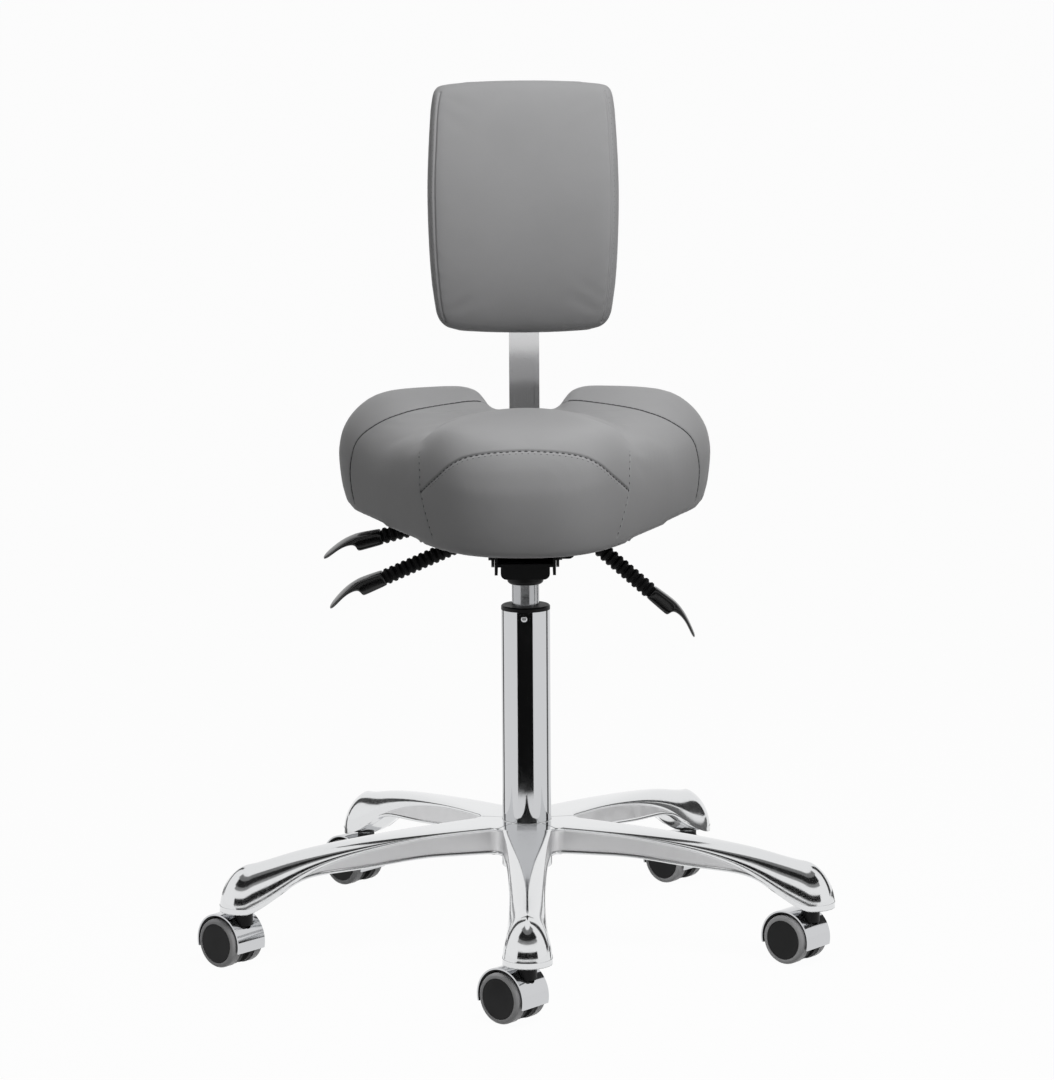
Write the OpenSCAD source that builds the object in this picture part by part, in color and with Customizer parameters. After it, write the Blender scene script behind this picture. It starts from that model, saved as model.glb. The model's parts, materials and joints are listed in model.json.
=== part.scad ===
// Podiatry stool: a saddle seat and a small backrest on a three-lever tilt mechanism,
// a gas lift, and a five-arm cast base on twin-wheel hooded casters.
// Millimetres, +Z up. The origin is on the column's axis, on the floor. The sitter faces -Y,
// so the nose of the seat points to -Y and the backrest stands at +Y.

/* [Star base] */
// Radius of the circle on which the caster stems stand
stem_circle_r = 300; // [270:1:340]
// Radius of the rounded end of an arm
arm_tip_r = 24.5; // [22:0.5:28]
// Height of an arm's top above the floor, beside the hub
arm_top_z = 129; // [118:1:140]
// Height of an arm's foot above the floor, where the caster stands under it
arm_foot_z = 58; // [55:1:66]
// Outer radius of the hub
hub_r = 26; // [25.5:0.1:30]
// Height of the hub from its lower edge to the shoulder of the column
hub_h = 49; // [42:1:56]

/* [Column and gas lift] */
// Outer diameter of the column tube
tube_d = 50; // [48:1:51]
// Wall of the column tube
tube_wall = 2; // [1.5:0.1:3]
// Height of the column tube above the hub
tube_h = 218.5; // [205:0.5:260]
// Diameter of the gas cylinder
cylinder_d = 28; // [26:0.5:30]
// Wall of the gas cylinder
cylinder_wall = 2.5; // [2:0.1:3]
// Diameter of the piston rod
piston_rod_d = 10; // [8:0.5:11]
// Travel of the gas lift
lift_stroke = 140; // [100:5:150]
// Bare length of the gas cylinder between the column and the mechanism, at its lowest
cylinder_show = 22; // [16:1:30]

/* [Casters] */
// Diameter of a wheel
wheel_d = 50; // [46:1:54]
// Width over the two wheels of a caster
wheels_w = 43; // [40:0.5:48]
// Depth of the tread ring, measured along the radius
tread_t = 5; // [3:0.5:6]
// Distance from the stem's axis to the axle
caster_trail = 19; // [16:0.5:22]
// Direction in which the casters trail, as an angle from +X
caster_heading = 139; // [100:1:180]
// Thickness of the chromed hood
hood_t = 1.6; // [1.2:0.1:2]
// Width of the hood
hood_w = 37; // [33:0.5:39]
// Diameter of the stem
stem_d = 11; // [10:0.5:12]
// Diameter of the axle
axle_d = 8; // [6:0.5:9]

/* [Saddle seat] */
// Widest half of the seat
seat_half_w = 192; // [170:1:215]
// Length of the seat from the nose to the rear of the wings
seat_l = 341; // [300:1:370]
// Height of the seat's lower face above the floor, on the column's axis, at the lowest lift
seat_z = 440; // [439:0.5:446]
// Forward tilt of the seat at rest
seat_rest_tilt = 3; // [0:0.5:3]
// Thickness of the padding at the middle of the saddle
saddle_h = 98; // [80:1:120]
// Rise of the pommel above the saddle
pommel_rise = 29; // [15:1:40]
// Rise of the wings above the saddle
wing_rise = 24; // [10:1:35]
// Thickness of the seat board
seat_board_t = 12; // [9:0.5:15]

/* [Tilt mechanism] */
// Width of the mechanism's steel channel
channel_w = 61; // [60:1:70]
// Height of the mechanism's steel channel
channel_h = 26; // [22:1:28]
// Thickness of the mechanism's steel
steel_t = 3; // [2.5:0.1:3.5]
// Width of the upper plate that carries the seat
plate_w = 190; // [160:1:210]
// Length of the upper plate that carries the seat
plate_l = 172; // [150:1:176]
// Diameter of the two tilt pins
tilt_pin_d = 10; // [8:0.5:12]

/* [Levers] */
// Diameter of a lever's steel rod
lever_rod_d = 8; // [6:0.5:8]
// Outer diameter of the ribbed sleeve
sleeve_d = 16.5; // [13:0.5:18]
// Distance from one rib of the sleeve to the next
rib_pitch = 6.5; // [5.5:0.1:8]
// Length of a paddle
paddle_l = 64; // [50:1:75]
// Width of a paddle
paddle_w = 22; // [16:1:26]

/* [Backrest] */
// Width of the backrest
back_w = 200; // [170:1:230]
// Height of the backrest
back_h = 266; // [220:1:300]
// Thickness of the backrest's padding
back_t = 48; // [36:1:60]
// Height of the backrest's lower edge above the floor, at the lowest lift
back_z = 612; // [605:1:640]
// Width of the flat bar that carries the backrest
bar_w = 32; // [26:0.5:36]
// Thickness of the flat bar
bar_t = 8; // [6:0.5:10]
// Distance from the column's axis to the middle of the upright bar
bar_y = 195; // [190:1:210]
// Diameter of the clamp knob
knob_d = 42; // [34:1:50]

/* [Hidden] */
// Clearances: a running fit, a seated fit, a gap between moving faces
run_fit = 0.05;
seat_fit = 0.03;
face_gap = 0.3;
// Overrun of a cut past the face it opens
cut = 1;
$fn = 64;

arm_count = 5;
first_arm = -90;

tube_r = tube_d / 2;
tube_bore_r = tube_r - tube_wall;
hub_top_rise = 1;
hub_top_z = arm_top_z + hub_top_rise;
hub_foot_z = hub_top_z - hub_h;
taper_top_r = 22.5;
taper_foot_r = 21.5;
taper_wall = 3;
tube_foot_t = 4;
tube_foot_z = hub_foot_z + 0.5 * tube_foot_t;
tube_top_z = hub_top_z + tube_h;
bush_flange_h = 4.5;
bush_l = 86;
bush_top_z = tube_top_z + bush_flange_h;
cylinder_r = cylinder_d / 2;
cylinder_bore_r = cylinder_r - cylinder_wall;
cylinder_rest_h = 20;
cylinder_foot_z = tube_foot_z + tube_foot_t + cylinder_rest_h;
cylinder_guide_h = 12;
cone_foot_z = bush_top_z + cylinder_show;
cone_h = 25;
cone_top_z = cone_foot_z + cone_h;
cone_lead = 0.8;
rod_r = piston_rod_d / 2;
piston_h = 9;
piston_end_gap = 5;
piston_foot_z = cylinder_foot_z + cylinder_guide_h + lift_stroke + piston_end_gap;
thrust_r = 11;
thrust_h = 10;
clip_r = 8;
clip_h = 1.6;

wheel_r = wheel_d / 2;
core_web_t = 5;
core_boss_t = 8;
core_boss_r = 7;
wheel_in_y = core_boss_t / 2 + face_gap;
wheel_out_y = wheels_w / 2;
wheel_w = wheel_out_y - wheel_in_y;
wheel_hub_r = wheel_r - tread_t;
tread_round = 3.5;
wheel_flange_t = 0.35 * wheel_w;
wheel_flange_step = 0.8;
disc_t = 3;
liner_gap = 1.4;
liner_in_r = wheel_r + liner_gap;
hood_in_r = liner_in_r + hood_t;
hood_out_r = hood_in_r + hood_t;
hood_drop = 7;
neck_r = 9;
neck_top_z = arm_foot_z - face_gap;
neck_h = 14;
neck_foot_z = arm_foot_z - neck_h;
stem_r = stem_d / 2;
stem_up = 30;
stem_seat_h = 2;
axle_r = axle_d / 2;
axle_inset = 1;
axle_half = wheel_out_y - disc_t - face_gap - axle_inset;

channel_z = cone_top_z - steel_t;
channel_top_z = channel_z + channel_h;
floor_z = channel_z + 8;
channel_front_y = -84;
channel_rear_y = 78;
pin_z = channel_z + 0.6 * channel_h;
seat_pin_y = -55;
back_pin_y = 62;
lug_r = 12;
lug_gap = 0.5;
lug_x = channel_w / 2 + lug_gap;
front_block_w = 49;
front_block_h = 15.5;
front_block_rise = 3.5;
front_block_l = 26;
front_block_round = 6;
socket_r = 18.5;
socket_round = 4;
clevis_gap = 7;
clevis_ear_t = 3;
clevis_reach = 20;
clevis_pin_r = 3;
clevis_eye_r = 7;
lever_x = channel_w / 2 + clevis_reach - clevis_eye_r;
lever_z = pin_z;
height_lever_y = 0;
seat_lever_y = -30;
back_lever_y = 35;
height_neck_l = 19.5;
height_neck_rise = 13.6;
height_slope = 23.7;
height_sleeve_at = 10;
height_sleeve_l = 78;
seat_neck_l = 26.2;
seat_neck_rise = 20.6;
seat_slope = 41.2;
seat_sleeve_at = 2;
seat_sleeve_l = 75.8;
back_neck_l = 63.8;
back_neck_rise = 15.4;
back_slope = 14.8;
back_sleeve_at = 8;
back_sleeve_l = 35;
lever_neck_step = 1;
paddle_grip = 18;
left_paddle_roll = 8;

seat_mid_y = -20;
seat_nose_y = -193;
plate_front_y = -80;
screw_r = 3;
screw_head_r = 6.5;
screw_head_h = 4;
screw_x = 74;
screw_front_y = -60;
screw_rear_y = 72;

bar_bend_r = 26;
bar_foot_y = 92;
bar_low_z = pin_z - bar_t / 2;
bar_top_z = 830;
bar_rim = 5;
bar_groove_t = 1.5;
bar_groove_top_z = 584;
slider_w = 46;
slider_h = 70;
slider_wall = 4;
slider_z = 690;
slider_plate_w = 76;
slider_plate_h = 96;
back_board_t = 9;
back_face_y = bar_y - bar_t / 2 - run_fit - slider_wall - steel_t;
knob_stem_r = 4;
knob_l = 22;
knob_reach = 5;

// Helpers

// A closed skin over rings with the same number of points, each ring counter-clockwise
// about the direction from the first ring to the last. The end rings are flat.
function flat(lists) = [for (l = lists) each l];
function wall_faces(n, rings, start) = [
    for (j = [0 : rings - 2]) for (i = [0 : n - 1])
        let (a = start + j * n + i, b = start + j * n + (i + 1) % n)
        each [[a, a + n, b + n], [a, b + n, b]]
];
module loft(rings) {
    n = len(rings[0]);
    last = (len(rings) - 1) * n;
    polyhedron(flat(rings), concat(
        [[for (i = [0 : n - 1]) i]],
        wall_faces(n, len(rings), 0),
        [[for (i = [n - 1 : -1 : 0]) last + i]]
    ));
}
// The same skin, closed at both ends by a fan about a pole
module pad_skin(rings, foot_pole, top_pole) {
    n = len(rings[0]);
    count = len(rings);
    top = count * n + 1;
    polyhedron(concat([foot_pole], flat(rings), [top_pole]), concat(
        [for (i = [0 : n - 1]) [0, 1 + i, 1 + (i + 1) % n]],
        wall_faces(n, count, 1),
        [for (i = [0 : n - 1]) [top, 1 + (count - 1) * n + (i + 1) % n, 1 + (count - 1) * n + i]]
    ));
}
// One smooth closed curve through a loop of points, with steps points for each of them
function spline(p0, p1, p2, p3, t) =
    0.5 * ((2 * p1) + (p2 - p0) * t + (2 * p0 - 5 * p1 + 4 * p2 - p3) * t * t
    + (3 * p1 - p0 - 3 * p2 + p3) * t * t * t);
function smooth_loop(points, steps) = let (n = len(points)) [
    for (i = [0 : n - 1]) for (s = [0 : steps - 1])
        spline(points[(i + n - 1) % n], points[i], points[(i + 1) % n],
            points[(i + 2) % n], s / steps)
];
function bell(t) = exp(-t * t);
// A loop from the points of its right half, which run from the front middle to the rear
function both_sides(half) = concat(half,
    [for (i = [len(half) - 2 : -1 : 1]) [-half[i][0], half[i][1]]]);
module at_arm(k) rotate([0, 0, first_arm + k * 360 / arm_count]) children();
module along_x() rotate([0, 90, 0]) children();
module along_y() rotate([-90, 0, 0]) children();

// Star base

// Stations of an arm: distance from the axis as a share of the stem circle, half width as a
// share of the tip radius, top and underside as shares of the arm's top height, upper edge of
// the recessed side panel and depth of the hollow underside as shares of the local height
arm_station_shares = [
    [0.04, 1.10, 1.000, 0.783, 0.93, 0.72],
    [0.12, 1.08, 1.000, 0.783, 0.93, 0.72],
    [0.18, 1.00, 0.997, 0.783, 0.92, 0.72],
    [0.27, 0.90, 0.992, 0.785, 0.90, 0.72],
    [0.37, 0.83, 0.984, 0.783, 0.86, 0.72],
    [0.47, 0.775, 0.973, 0.765, 0.81, 0.72],
    [0.57, 0.745, 0.958, 0.738, 0.76, 0.70],
    [0.67, 0.727, 0.938, 0.725, 0.65, 0.66],
    [0.76, 0.722, 0.912, 0.710, 0.50, 0.45],
    [0.80, 0.727, 0.900, 0.700, 0.46, 0.30],
    [0.85, 0.750, 0.877, 0.640, 0.40, 0],
    [0.90, 0.800, 0.855, 0.572, 0.33, 0],
    [0.95, 0.890, 0.832, 0.505, 0.24, 0]
];
// Share of the arm's top height that is left above the stem
arm_end_top_share = 0.815;
// How far inside the stem circle the tip starts to fall, as a share of the tip radius
arm_fall_share = 0.37;
tip_angles = [0, 22, 42, 58, 72, 84];
// Half of the section of an arm, from under the crown to the hollow: across as a share of the
// half width, up as a share of the local height
arm_top_shares = [[0.42, 0.965], [0.76, 0.875], [0.94, 0.76]];

function arm_section(r, w, top, foot, panel, hollow) = let (
    h = top - foot,
    right = concat(
        [[0.62, hollow], [0.70, 0], [0.94, 0], [0.94, 0.08], [0.88, 0.15], [0.88, panel],
            [0.97, panel + 0.06 * (1 - panel)], [1, panel + 0.4 * (1 - panel)]],
        [for (i = [2 : -1 : 0])
            [arm_top_shares[i][0], 1 - (1 - arm_top_shares[i][1]) * min(1, 4 * (1 - panel))]]
    )
) concat(
    [[r, 0, top]],
    [for (i = [len(right) - 1 : -1 : 0]) [r, -w * right[i][0], foot + h * right[i][1]]],
    [for (p = right) [r, w * p[0], foot + h * p[1]]]
);
function tip_top(r) = let (
    start = stem_circle_r - arm_fall_share * arm_tip_r,
    reach = stem_circle_r + arm_tip_r * 1.01 - start
) arm_foot_z + (arm_end_top_share * arm_top_z - arm_foot_z)
    * sqrt(1 - pow(max(0, r - start) / reach, 2));

module arm() {
    loft(concat(
        [for (s = arm_station_shares)
            arm_section(s[0] * stem_circle_r, s[1] * arm_tip_r, s[2] * arm_top_z,
                s[3] * arm_top_z, s[4], s[5])],
        [for (a = tip_angles) let (r = stem_circle_r + arm_tip_r * sin(a))
            arm_section(r, arm_tip_r * cos(a), tip_top(r), arm_foot_z, 0.20, 0)]
    ));
}
module star_base() color("silver") difference() {
    union() {
        for (k = [0 : arm_count - 1]) at_arm(k) arm();
        translate([0, 0, hub_foot_z]) cylinder(r = hub_r, h = hub_h);
    }
    translate([0, 0, hub_foot_z - cut])
        cylinder(r1 = taper_r(hub_foot_z - cut) + seat_fit,
            r2 = taper_r(hub_top_z + cut) + seat_fit, h = hub_h + 2 * cut);
    for (k = [0 : arm_count - 1]) at_arm(k)
        translate([stem_circle_r, 0, arm_foot_z - cut])
            cylinder(r = stem_r + run_fit, h = stem_up + 2 * cut);
}

// Column and gas lift

// Radius of the column's taper at a height
function taper_r(z) = taper_foot_r + (taper_top_r - taper_foot_r) * (z - hub_foot_z) / hub_h;

module column_tube() color("gainsboro") rotate_extrude() polygon([
    [rod_r + run_fit, tube_foot_z], [taper_r(tube_foot_z), tube_foot_z],
    [taper_r(hub_top_z), hub_top_z], [tube_r, hub_top_z], [tube_r, tube_top_z],
    [tube_bore_r, tube_top_z], [tube_bore_r, hub_top_z + taper_wall],
    [taper_top_r - taper_wall, hub_top_z - taper_wall],
    [taper_foot_r - taper_wall, tube_foot_z + tube_foot_t],
    [rod_r + run_fit, tube_foot_z + tube_foot_t]
]);
module guide_bush() color("black") rotate_extrude() polygon([
    [cylinder_r + run_fit, tube_top_z - bush_l], [tube_bore_r - seat_fit, tube_top_z - bush_l],
    [tube_bore_r - seat_fit, tube_top_z], [tube_r, tube_top_z],
    [tube_r, bush_top_z - 0.25 * bush_flange_h],
    [tube_r - 0.25 * bush_flange_h, bush_top_z], [cylinder_r + run_fit, bush_top_z]
]);
module lift_rod() color("silver") {
    rotate_extrude() polygon([
        [0, tube_foot_z - clip_h - run_fit], [clip_r, tube_foot_z - clip_h - run_fit],
        [clip_r, tube_foot_z - run_fit], [rod_r, tube_foot_z - run_fit],
        [rod_r, piston_foot_z], [cylinder_bore_r - run_fit, piston_foot_z],
        [cylinder_bore_r - run_fit, piston_foot_z + piston_h], [0, piston_foot_z + piston_h]
    ]);
    translate([0, 0, tube_foot_z + tube_foot_t]) difference() {
        cylinder(r = thrust_r, h = thrust_h);
        translate([0, 0, -cut]) cylinder(r = rod_r + seat_fit, h = thrust_h + 2 * cut);
    }
}
module gas_cylinder() color("silver") rotate_extrude() polygon([
    [rod_r + run_fit, cylinder_foot_z], [cylinder_r, cylinder_foot_z],
    [cylinder_r, cone_foot_z], [cylinder_r - cone_lead, cone_top_z],
    [rod_r, cone_top_z], [rod_r, cone_top_z + steel_t], [0, cone_top_z + steel_t],
    [0, cone_top_z - cylinder_guide_h], [cylinder_bore_r, cone_top_z - cylinder_guide_h],
    [cylinder_bore_r, cylinder_foot_z + cylinder_guide_h],
    [rod_r + run_fit, cylinder_foot_z + cylinder_guide_h]
]);

// Casters, drawn about the stem's axis with the wheels trailing to +X

module at_caster(k) rotate([0, 0, first_arm + k * 360 / arm_count])
    translate([stem_circle_r, 0, 0])
        rotate([0, 0, caster_heading - first_arm - k * 360 / arm_count]) children();
module at_axle() translate([caster_trail, 0, wheel_r]) children();
module across_caster(r, w) translate([0, -w / 2, 0]) along_y() cylinder(r = r, h = w);
// Everything above the lower edge of the hood
module above_hood_edge() translate([-2 * hood_out_r, -wheels_w, -hood_drop])
    cube([4 * hood_out_r, 2 * wheels_w, 2 * hood_out_r]);
// The opening in the hood that lets the neck through, with a tongue down the front
module neck_window(grow) {
    translate([0, 0, neck_foot_z - grow]) cylinder(r = neck_r + grow, h = neck_top_z);
    translate([-2 * neck_r, 0, neck_foot_z + 0.2 * neck_r]) along_x() linear_extrude(2 * neck_r) {
        circle(r = 0.5 * neck_r + grow);
        translate([-neck_r - hood_out_r, -0.5 * neck_r - grow])
            square([neck_r + hood_out_r, neck_r + 2 * grow]);
    }
}
module caster_hood() color("gainsboro") difference() {
    at_axle() intersection() {
        difference() {
            across_caster(hood_out_r, hood_w);
            across_caster(hood_in_r + seat_fit, hood_w + 2 * cut);
        }
        above_hood_edge();
    }
    neck_window(0.1 * neck_r);
}
module caster_core() color("black") difference() {
    union() {
        at_axle() intersection() {
            union() {
                difference() {
                    across_caster(hood_in_r, hood_w - 2 * hood_t);
                    across_caster(liner_in_r, hood_w);
                }
                across_caster(liner_in_r + 0.5 * hood_t, core_web_t);
            }
            above_hood_edge();
        }
        at_axle() across_caster(core_boss_r, core_boss_t);
        translate([0, 0, neck_foot_z]) cylinder(r = neck_r, h = neck_top_z - neck_foot_z);
    }
    at_axle() across_caster(axle_r + seat_fit, wheels_w);
    at_axle() for (side = [-1, 1]) translate([0, side * (wheel_in_y + wheel_w / 2), 0])
        across_caster(liner_in_r, wheel_w);
    translate([0, 0, neck_foot_z + stem_seat_h]) cylinder(r = stem_r + seat_fit, h = stem_up);
}
module caster_pins() color("silver") {
    translate([0, 0, neck_foot_z + stem_seat_h])
        cylinder(r = stem_r, h = arm_foot_z + stem_up - neck_foot_z - stem_seat_h);
    at_axle() across_caster(axle_r, 2 * axle_half);
}
// A wheel is drawn with its axis up, from the inner face at zero to the outer face
module at_wheel(side) at_axle() rotate([side * -90, 0, 0])
    translate([0, 0, wheel_in_y]) children();
module wheel_hub() color("dimgray") rotate_extrude() polygon([
    [axle_r + run_fit, 0], [wheel_r - wheel_flange_step, 0],
    [wheel_r - wheel_flange_step, wheel_flange_t], [wheel_hub_r, wheel_flange_t],
    [wheel_hub_r, wheel_w - 0.2 * disc_t],
    [wheel_hub_r - 0.2 * disc_t, wheel_w], [0, wheel_w], [0, wheel_w - disc_t],
    [axle_r + run_fit, wheel_w - disc_t]
]);
module wheel_tread() color("darkgray") rotate_extrude() difference() {
    translate([wheel_hub_r + seat_fit, wheel_flange_t + seat_fit])
        square([tread_t - seat_fit, wheel_w - wheel_flange_t - seat_fit]);
    translate([wheel_r, wheel_w]) difference() {
        translate([-tread_round, -tread_round]) square([2 * tread_round, 2 * tread_round]);
        translate([-tread_round, -tread_round]) circle(r = tread_round);
        translate([-4 * tread_round, -2 * tread_round])
            square([3 * tread_round, 4 * tread_round]);
        translate([-2 * tread_round, -5 * tread_round])
            square([4 * tread_round, 4 * tread_round]);
    }
}

// Tilt mechanism

module mechanism_housing() color("black") difference() {
    union() {
        // Channel with its web set up between the walls
        translate([-channel_w / 2, channel_front_y, floor_z])
            cube([channel_w, channel_rear_y - channel_front_y, steel_t]);
        for (side = [-1, 1])
            translate([side * (channel_w - steel_t) / 2 - steel_t / 2, channel_front_y, channel_z])
                cube([steel_t, channel_rear_y - channel_front_y, channel_h]);
        // Socket for the gas cylinder
        translate([0, 0, cone_foot_z - face_gap]) rotate_extrude() {
            translate([0, socket_round])
                square([socket_r, floor_z - cone_foot_z + face_gap - socket_round]);
            square([socket_r - socket_round, 2 * socket_round]);
            translate([socket_r - socket_round, socket_round]) circle(r = socket_round);
        }
        // Front block with its rounded lower edges
        translate([0, channel_front_y - 0.1 * front_block_l, floor_z + front_block_rise])
            along_y() linear_extrude(front_block_l) union() {
                translate([-front_block_w / 2, 0])
                    square([front_block_w, front_block_h - front_block_round]);
                for (side = [-1, 1])
                    translate([side * (front_block_w / 2 - front_block_round),
                        front_block_h - front_block_round]) circle(r = front_block_round);
                translate([-front_block_w / 2 + front_block_round, 0])
                    square([front_block_w - 2 * front_block_round, front_block_h]);
            }
        // Pins of the seat tilt and the back tilt
        for (y = [seat_pin_y, back_pin_y]) translate([-lug_x - 2 * steel_t, y, pin_z])
            along_x() cylinder(r = tilt_pin_d / 2, h = 2 * lug_x + 4 * steel_t);
        clevis(-1, height_lever_y);
        clevis(1, seat_lever_y);
        clevis(-1, back_lever_y);
    }
    translate([0, 0, cone_foot_z - cut]) cylinder(r1 = cone_r(cone_foot_z - cut) + seat_fit,
        r2 = cone_r(cone_top_z + cut) + seat_fit, h = cone_h + 2 * cut);
    translate([0, 0, cone_top_z]) cylinder(r = cone_r(cone_top_z) + seat_fit, h = channel_h);
}
// Radius of the gas cylinder's cone at a height
function cone_r(z) = cylinder_r - cone_lead * (z - cone_foot_z) / cone_h;
// Two ears and a pin beside the channel that carry the eye of a lever
module clevis(side, y) {
    for (e = [-1, 1]) translate([0, y + e * (clevis_gap + clevis_ear_t) / 2, 0]) {
        translate([side > 0 ? channel_w / 2 - steel_t / 2 : -lever_x,
            -clevis_ear_t / 2, lever_z - clevis_eye_r])
            cube([lever_x - channel_w / 2 + steel_t / 2, clevis_ear_t, 2 * clevis_eye_r]);
        translate([side * lever_x, -clevis_ear_t / 2, lever_z])
            along_y() cylinder(r = clevis_eye_r, h = clevis_ear_t);
    }
    translate([side * lever_x, y - clevis_gap / 2 - clevis_ear_t, lever_z])
        along_y() cylinder(r = clevis_pin_r, h = clevis_gap + 2 * clevis_ear_t);
}

// Seat, drawn level with its lower face at zero and tilted at rest

module in_seat() translate([0, 0, seat_z]) rotate([seat_rest_tilt, 0, 0]) children();
// A point of the side view in the seat's own frame
function seat_side(y, z) = let (c = cos(seat_rest_tilt), s = sin(seat_rest_tilt))
    [y * c + (z - seat_z) * s, (z - seat_z) * c - y * s];

module seat_plate() color("black") difference() {
    union() {
        in_seat() translate([0, plate_front_y, -steel_t]) linear_extrude(steel_t)
            rounded_plate(plate_w, plate_l, 3 * steel_t);
        in_seat() let (p = seat_side(seat_pin_y, pin_z)) for (side = [-1, 1])
            translate([side * (lug_x + steel_t / 2) - steel_t / 2, p[0], p[1]]) {
                along_x() cylinder(r = lug_r, h = steel_t);
                translate([0, -lug_r, 0]) cube([steel_t, 2 * lug_r, -p[1] - 0.5 * steel_t]);
            }
    }
    translate([-plate_w, seat_pin_y, pin_z])
        along_x() cylinder(r = tilt_pin_d / 2 + run_fit, h = 2 * plate_w);
    in_seat() at_screws() translate([0, 0, -steel_t - cut])
        cylinder(r = 1.1 * screw_r, h = steel_t + 2 * cut);
}
// A plate with rounded corners, centred across, from zero along +Y
module rounded_plate(w, l, r) {
    translate([-w / 2 + r, 0]) square([w - 2 * r, l]);
    translate([-w / 2, r]) square([w, l - 2 * r]);
    for (x = [-w / 2 + r, w / 2 - r]) for (y = [r, l - r]) translate([x, y]) circle(r = r);
}
module at_screws() for (x = [-screw_x, screw_x]) for (y = [screw_front_y, screw_rear_y])
    translate([x, y, 0]) children();
module seat_screws() color("silver") in_seat() at_screws() {
    translate([0, 0, -steel_t - screw_head_h])
        cylinder(r = screw_head_r, h = screw_head_h, $fn = 6);
    translate([0, 0, -steel_t]) cylinder(r = screw_r, h = steel_t + 0.8 * seat_board_t);
}

// Right half of the seat's outline, from the nose to the notch between the wings: across as a
// share of the half width, along as a share of the length from the nose
seat_outline_shares = [
    [0, 0], [0.20, 0.012], [0.36, 0.062], [0.50, 0.17], [0.625, 0.317], [0.745, 0.463],
    [0.86, 0.61], [0.958, 0.742], [1, 0.845], [0.958, 0.932], [0.833, 0.985], [0.64, 1],
    [0.46, 0.982], [0.325, 0.925], [0.235, 0.85], [0.14, 0.79], [0, 0.765]
];
// Rings of the side, from the lower edge up: size as a share of the outline, height as a share
// of the upper edge
seat_side_shares = [[0.925, -0.045], [0.95, -0.035], [0.978, 0.14], [0.994, 0.42], [1.004, 0.74]];
seat_top_shares = [1, 0.986, 0.958, 0.915, 0.845, 0.73, 0.56, 0.35];
seat_pocket_share = 0.90;
seat_outline = smooth_loop(both_sides([for (p = seat_outline_shares)
    [p[0] * seat_half_w, seat_nose_y + p[1] * seat_l]]), 2);
edge_drop = 32;
edge_power = 12;
pommel_y = -100;
pommel_half_w = 62;
pommel_half_l = 60;
bridge_rise = 4;
bridge_y = 52;
bridge_half_w = 36;
bridge_half_l = 26;
wing_x = 92;
wing_y = 88;
wing_in_w = 100;
wing_out_w = 130;
wing_half_l = 85;

function seat_scaled(p, s) = [p[0] * s, seat_mid_y + (p[1] - seat_mid_y) * s];
// Height of the padding over a point that lies at share s of the way to the outline
function seat_top(p, s) = saddle_h - edge_drop * pow(s, edge_power)
    + pommel_rise * bell(p[0] / pommel_half_w) * bell((p[1] - pommel_y) / pommel_half_l)
    + bridge_rise * bell(pow(p[0] / bridge_half_w, 2)) * bell((p[1] - bridge_y) / bridge_half_l)
    + wing_rise * bell((p[1] - wing_y) / wing_half_l)
        * bell((abs(p[0]) - wing_x) / (abs(p[0]) > wing_x ? wing_out_w : wing_in_w));
// The padding hangs over the board's edge, but not in the notch, where the plate passes
function seat_lip(p) = p[1] < 0 ? 1 : min(1, max(0, abs(p[0]) / 50 - 1));

module seat_cushion() color("darkgray") in_seat() pad_skin(
    concat(
        [[for (p = seat_outline) concat(seat_scaled(p, seat_pocket_share), seat_board_t)],
            [for (p = seat_outline) concat(seat_scaled(p, seat_pocket_share), 0)]],
        [for (r = seat_side_shares) [for (p = seat_outline)
            concat(seat_scaled(p, r[0]), r[1] * seat_top(p, 1) * (r[1] < 0 ? seat_lip(p) : 1))]],
        [for (s = seat_top_shares) [for (p = seat_outline)
            let (q = seat_scaled(p, s)) concat(q, seat_top(q, s))]]
    ),
    [0, seat_mid_y, seat_board_t],
    [0, seat_mid_y, seat_top([0, seat_mid_y], 0)]
);
module seat_board() color("saddlebrown") in_seat() difference() {
    linear_extrude(seat_board_t) polygon([for (p = seat_outline)
        seat_scaled(p, seat_pocket_share - 0.1 * (1 - seat_pocket_share))]);
    at_screws() translate([0, 0, -cut])
        cylinder(r = screw_r + seat_fit, h = cut + 0.85 * seat_board_t);
}

// Backrest and its bar

module back_bracket() color("black") difference() {
    union() {
        for (side = [-1, 1]) translate([side * (lug_x + steel_t / 2) - steel_t / 2, 0, 0]) {
            translate([0, back_pin_y, pin_z]) along_x() cylinder(r = lug_r, h = steel_t);
            translate([0, back_pin_y, pin_z - lug_r])
                cube([steel_t, bracket_rear_y - back_pin_y, 2 * lug_r]);
        }
        translate([-lug_x - steel_t, channel_rear_y + lug_r, bar_low_z - steel_t])
            cube([2 * lug_x + 2 * steel_t, bracket_rear_y - channel_rear_y - lug_r, steel_t]);
        translate([-lug_x - steel_t, channel_rear_y + lug_r, bar_low_z + bar_t])
            cube([2 * lug_x + 2 * steel_t, bracket_rear_y - channel_rear_y - lug_r, steel_t]);
    }
    translate([-plate_w, back_pin_y, pin_z])
        along_x() cylinder(r = tilt_pin_d / 2 + run_fit, h = 2 * plate_w);
}
bracket_rear_y = 140;
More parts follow.
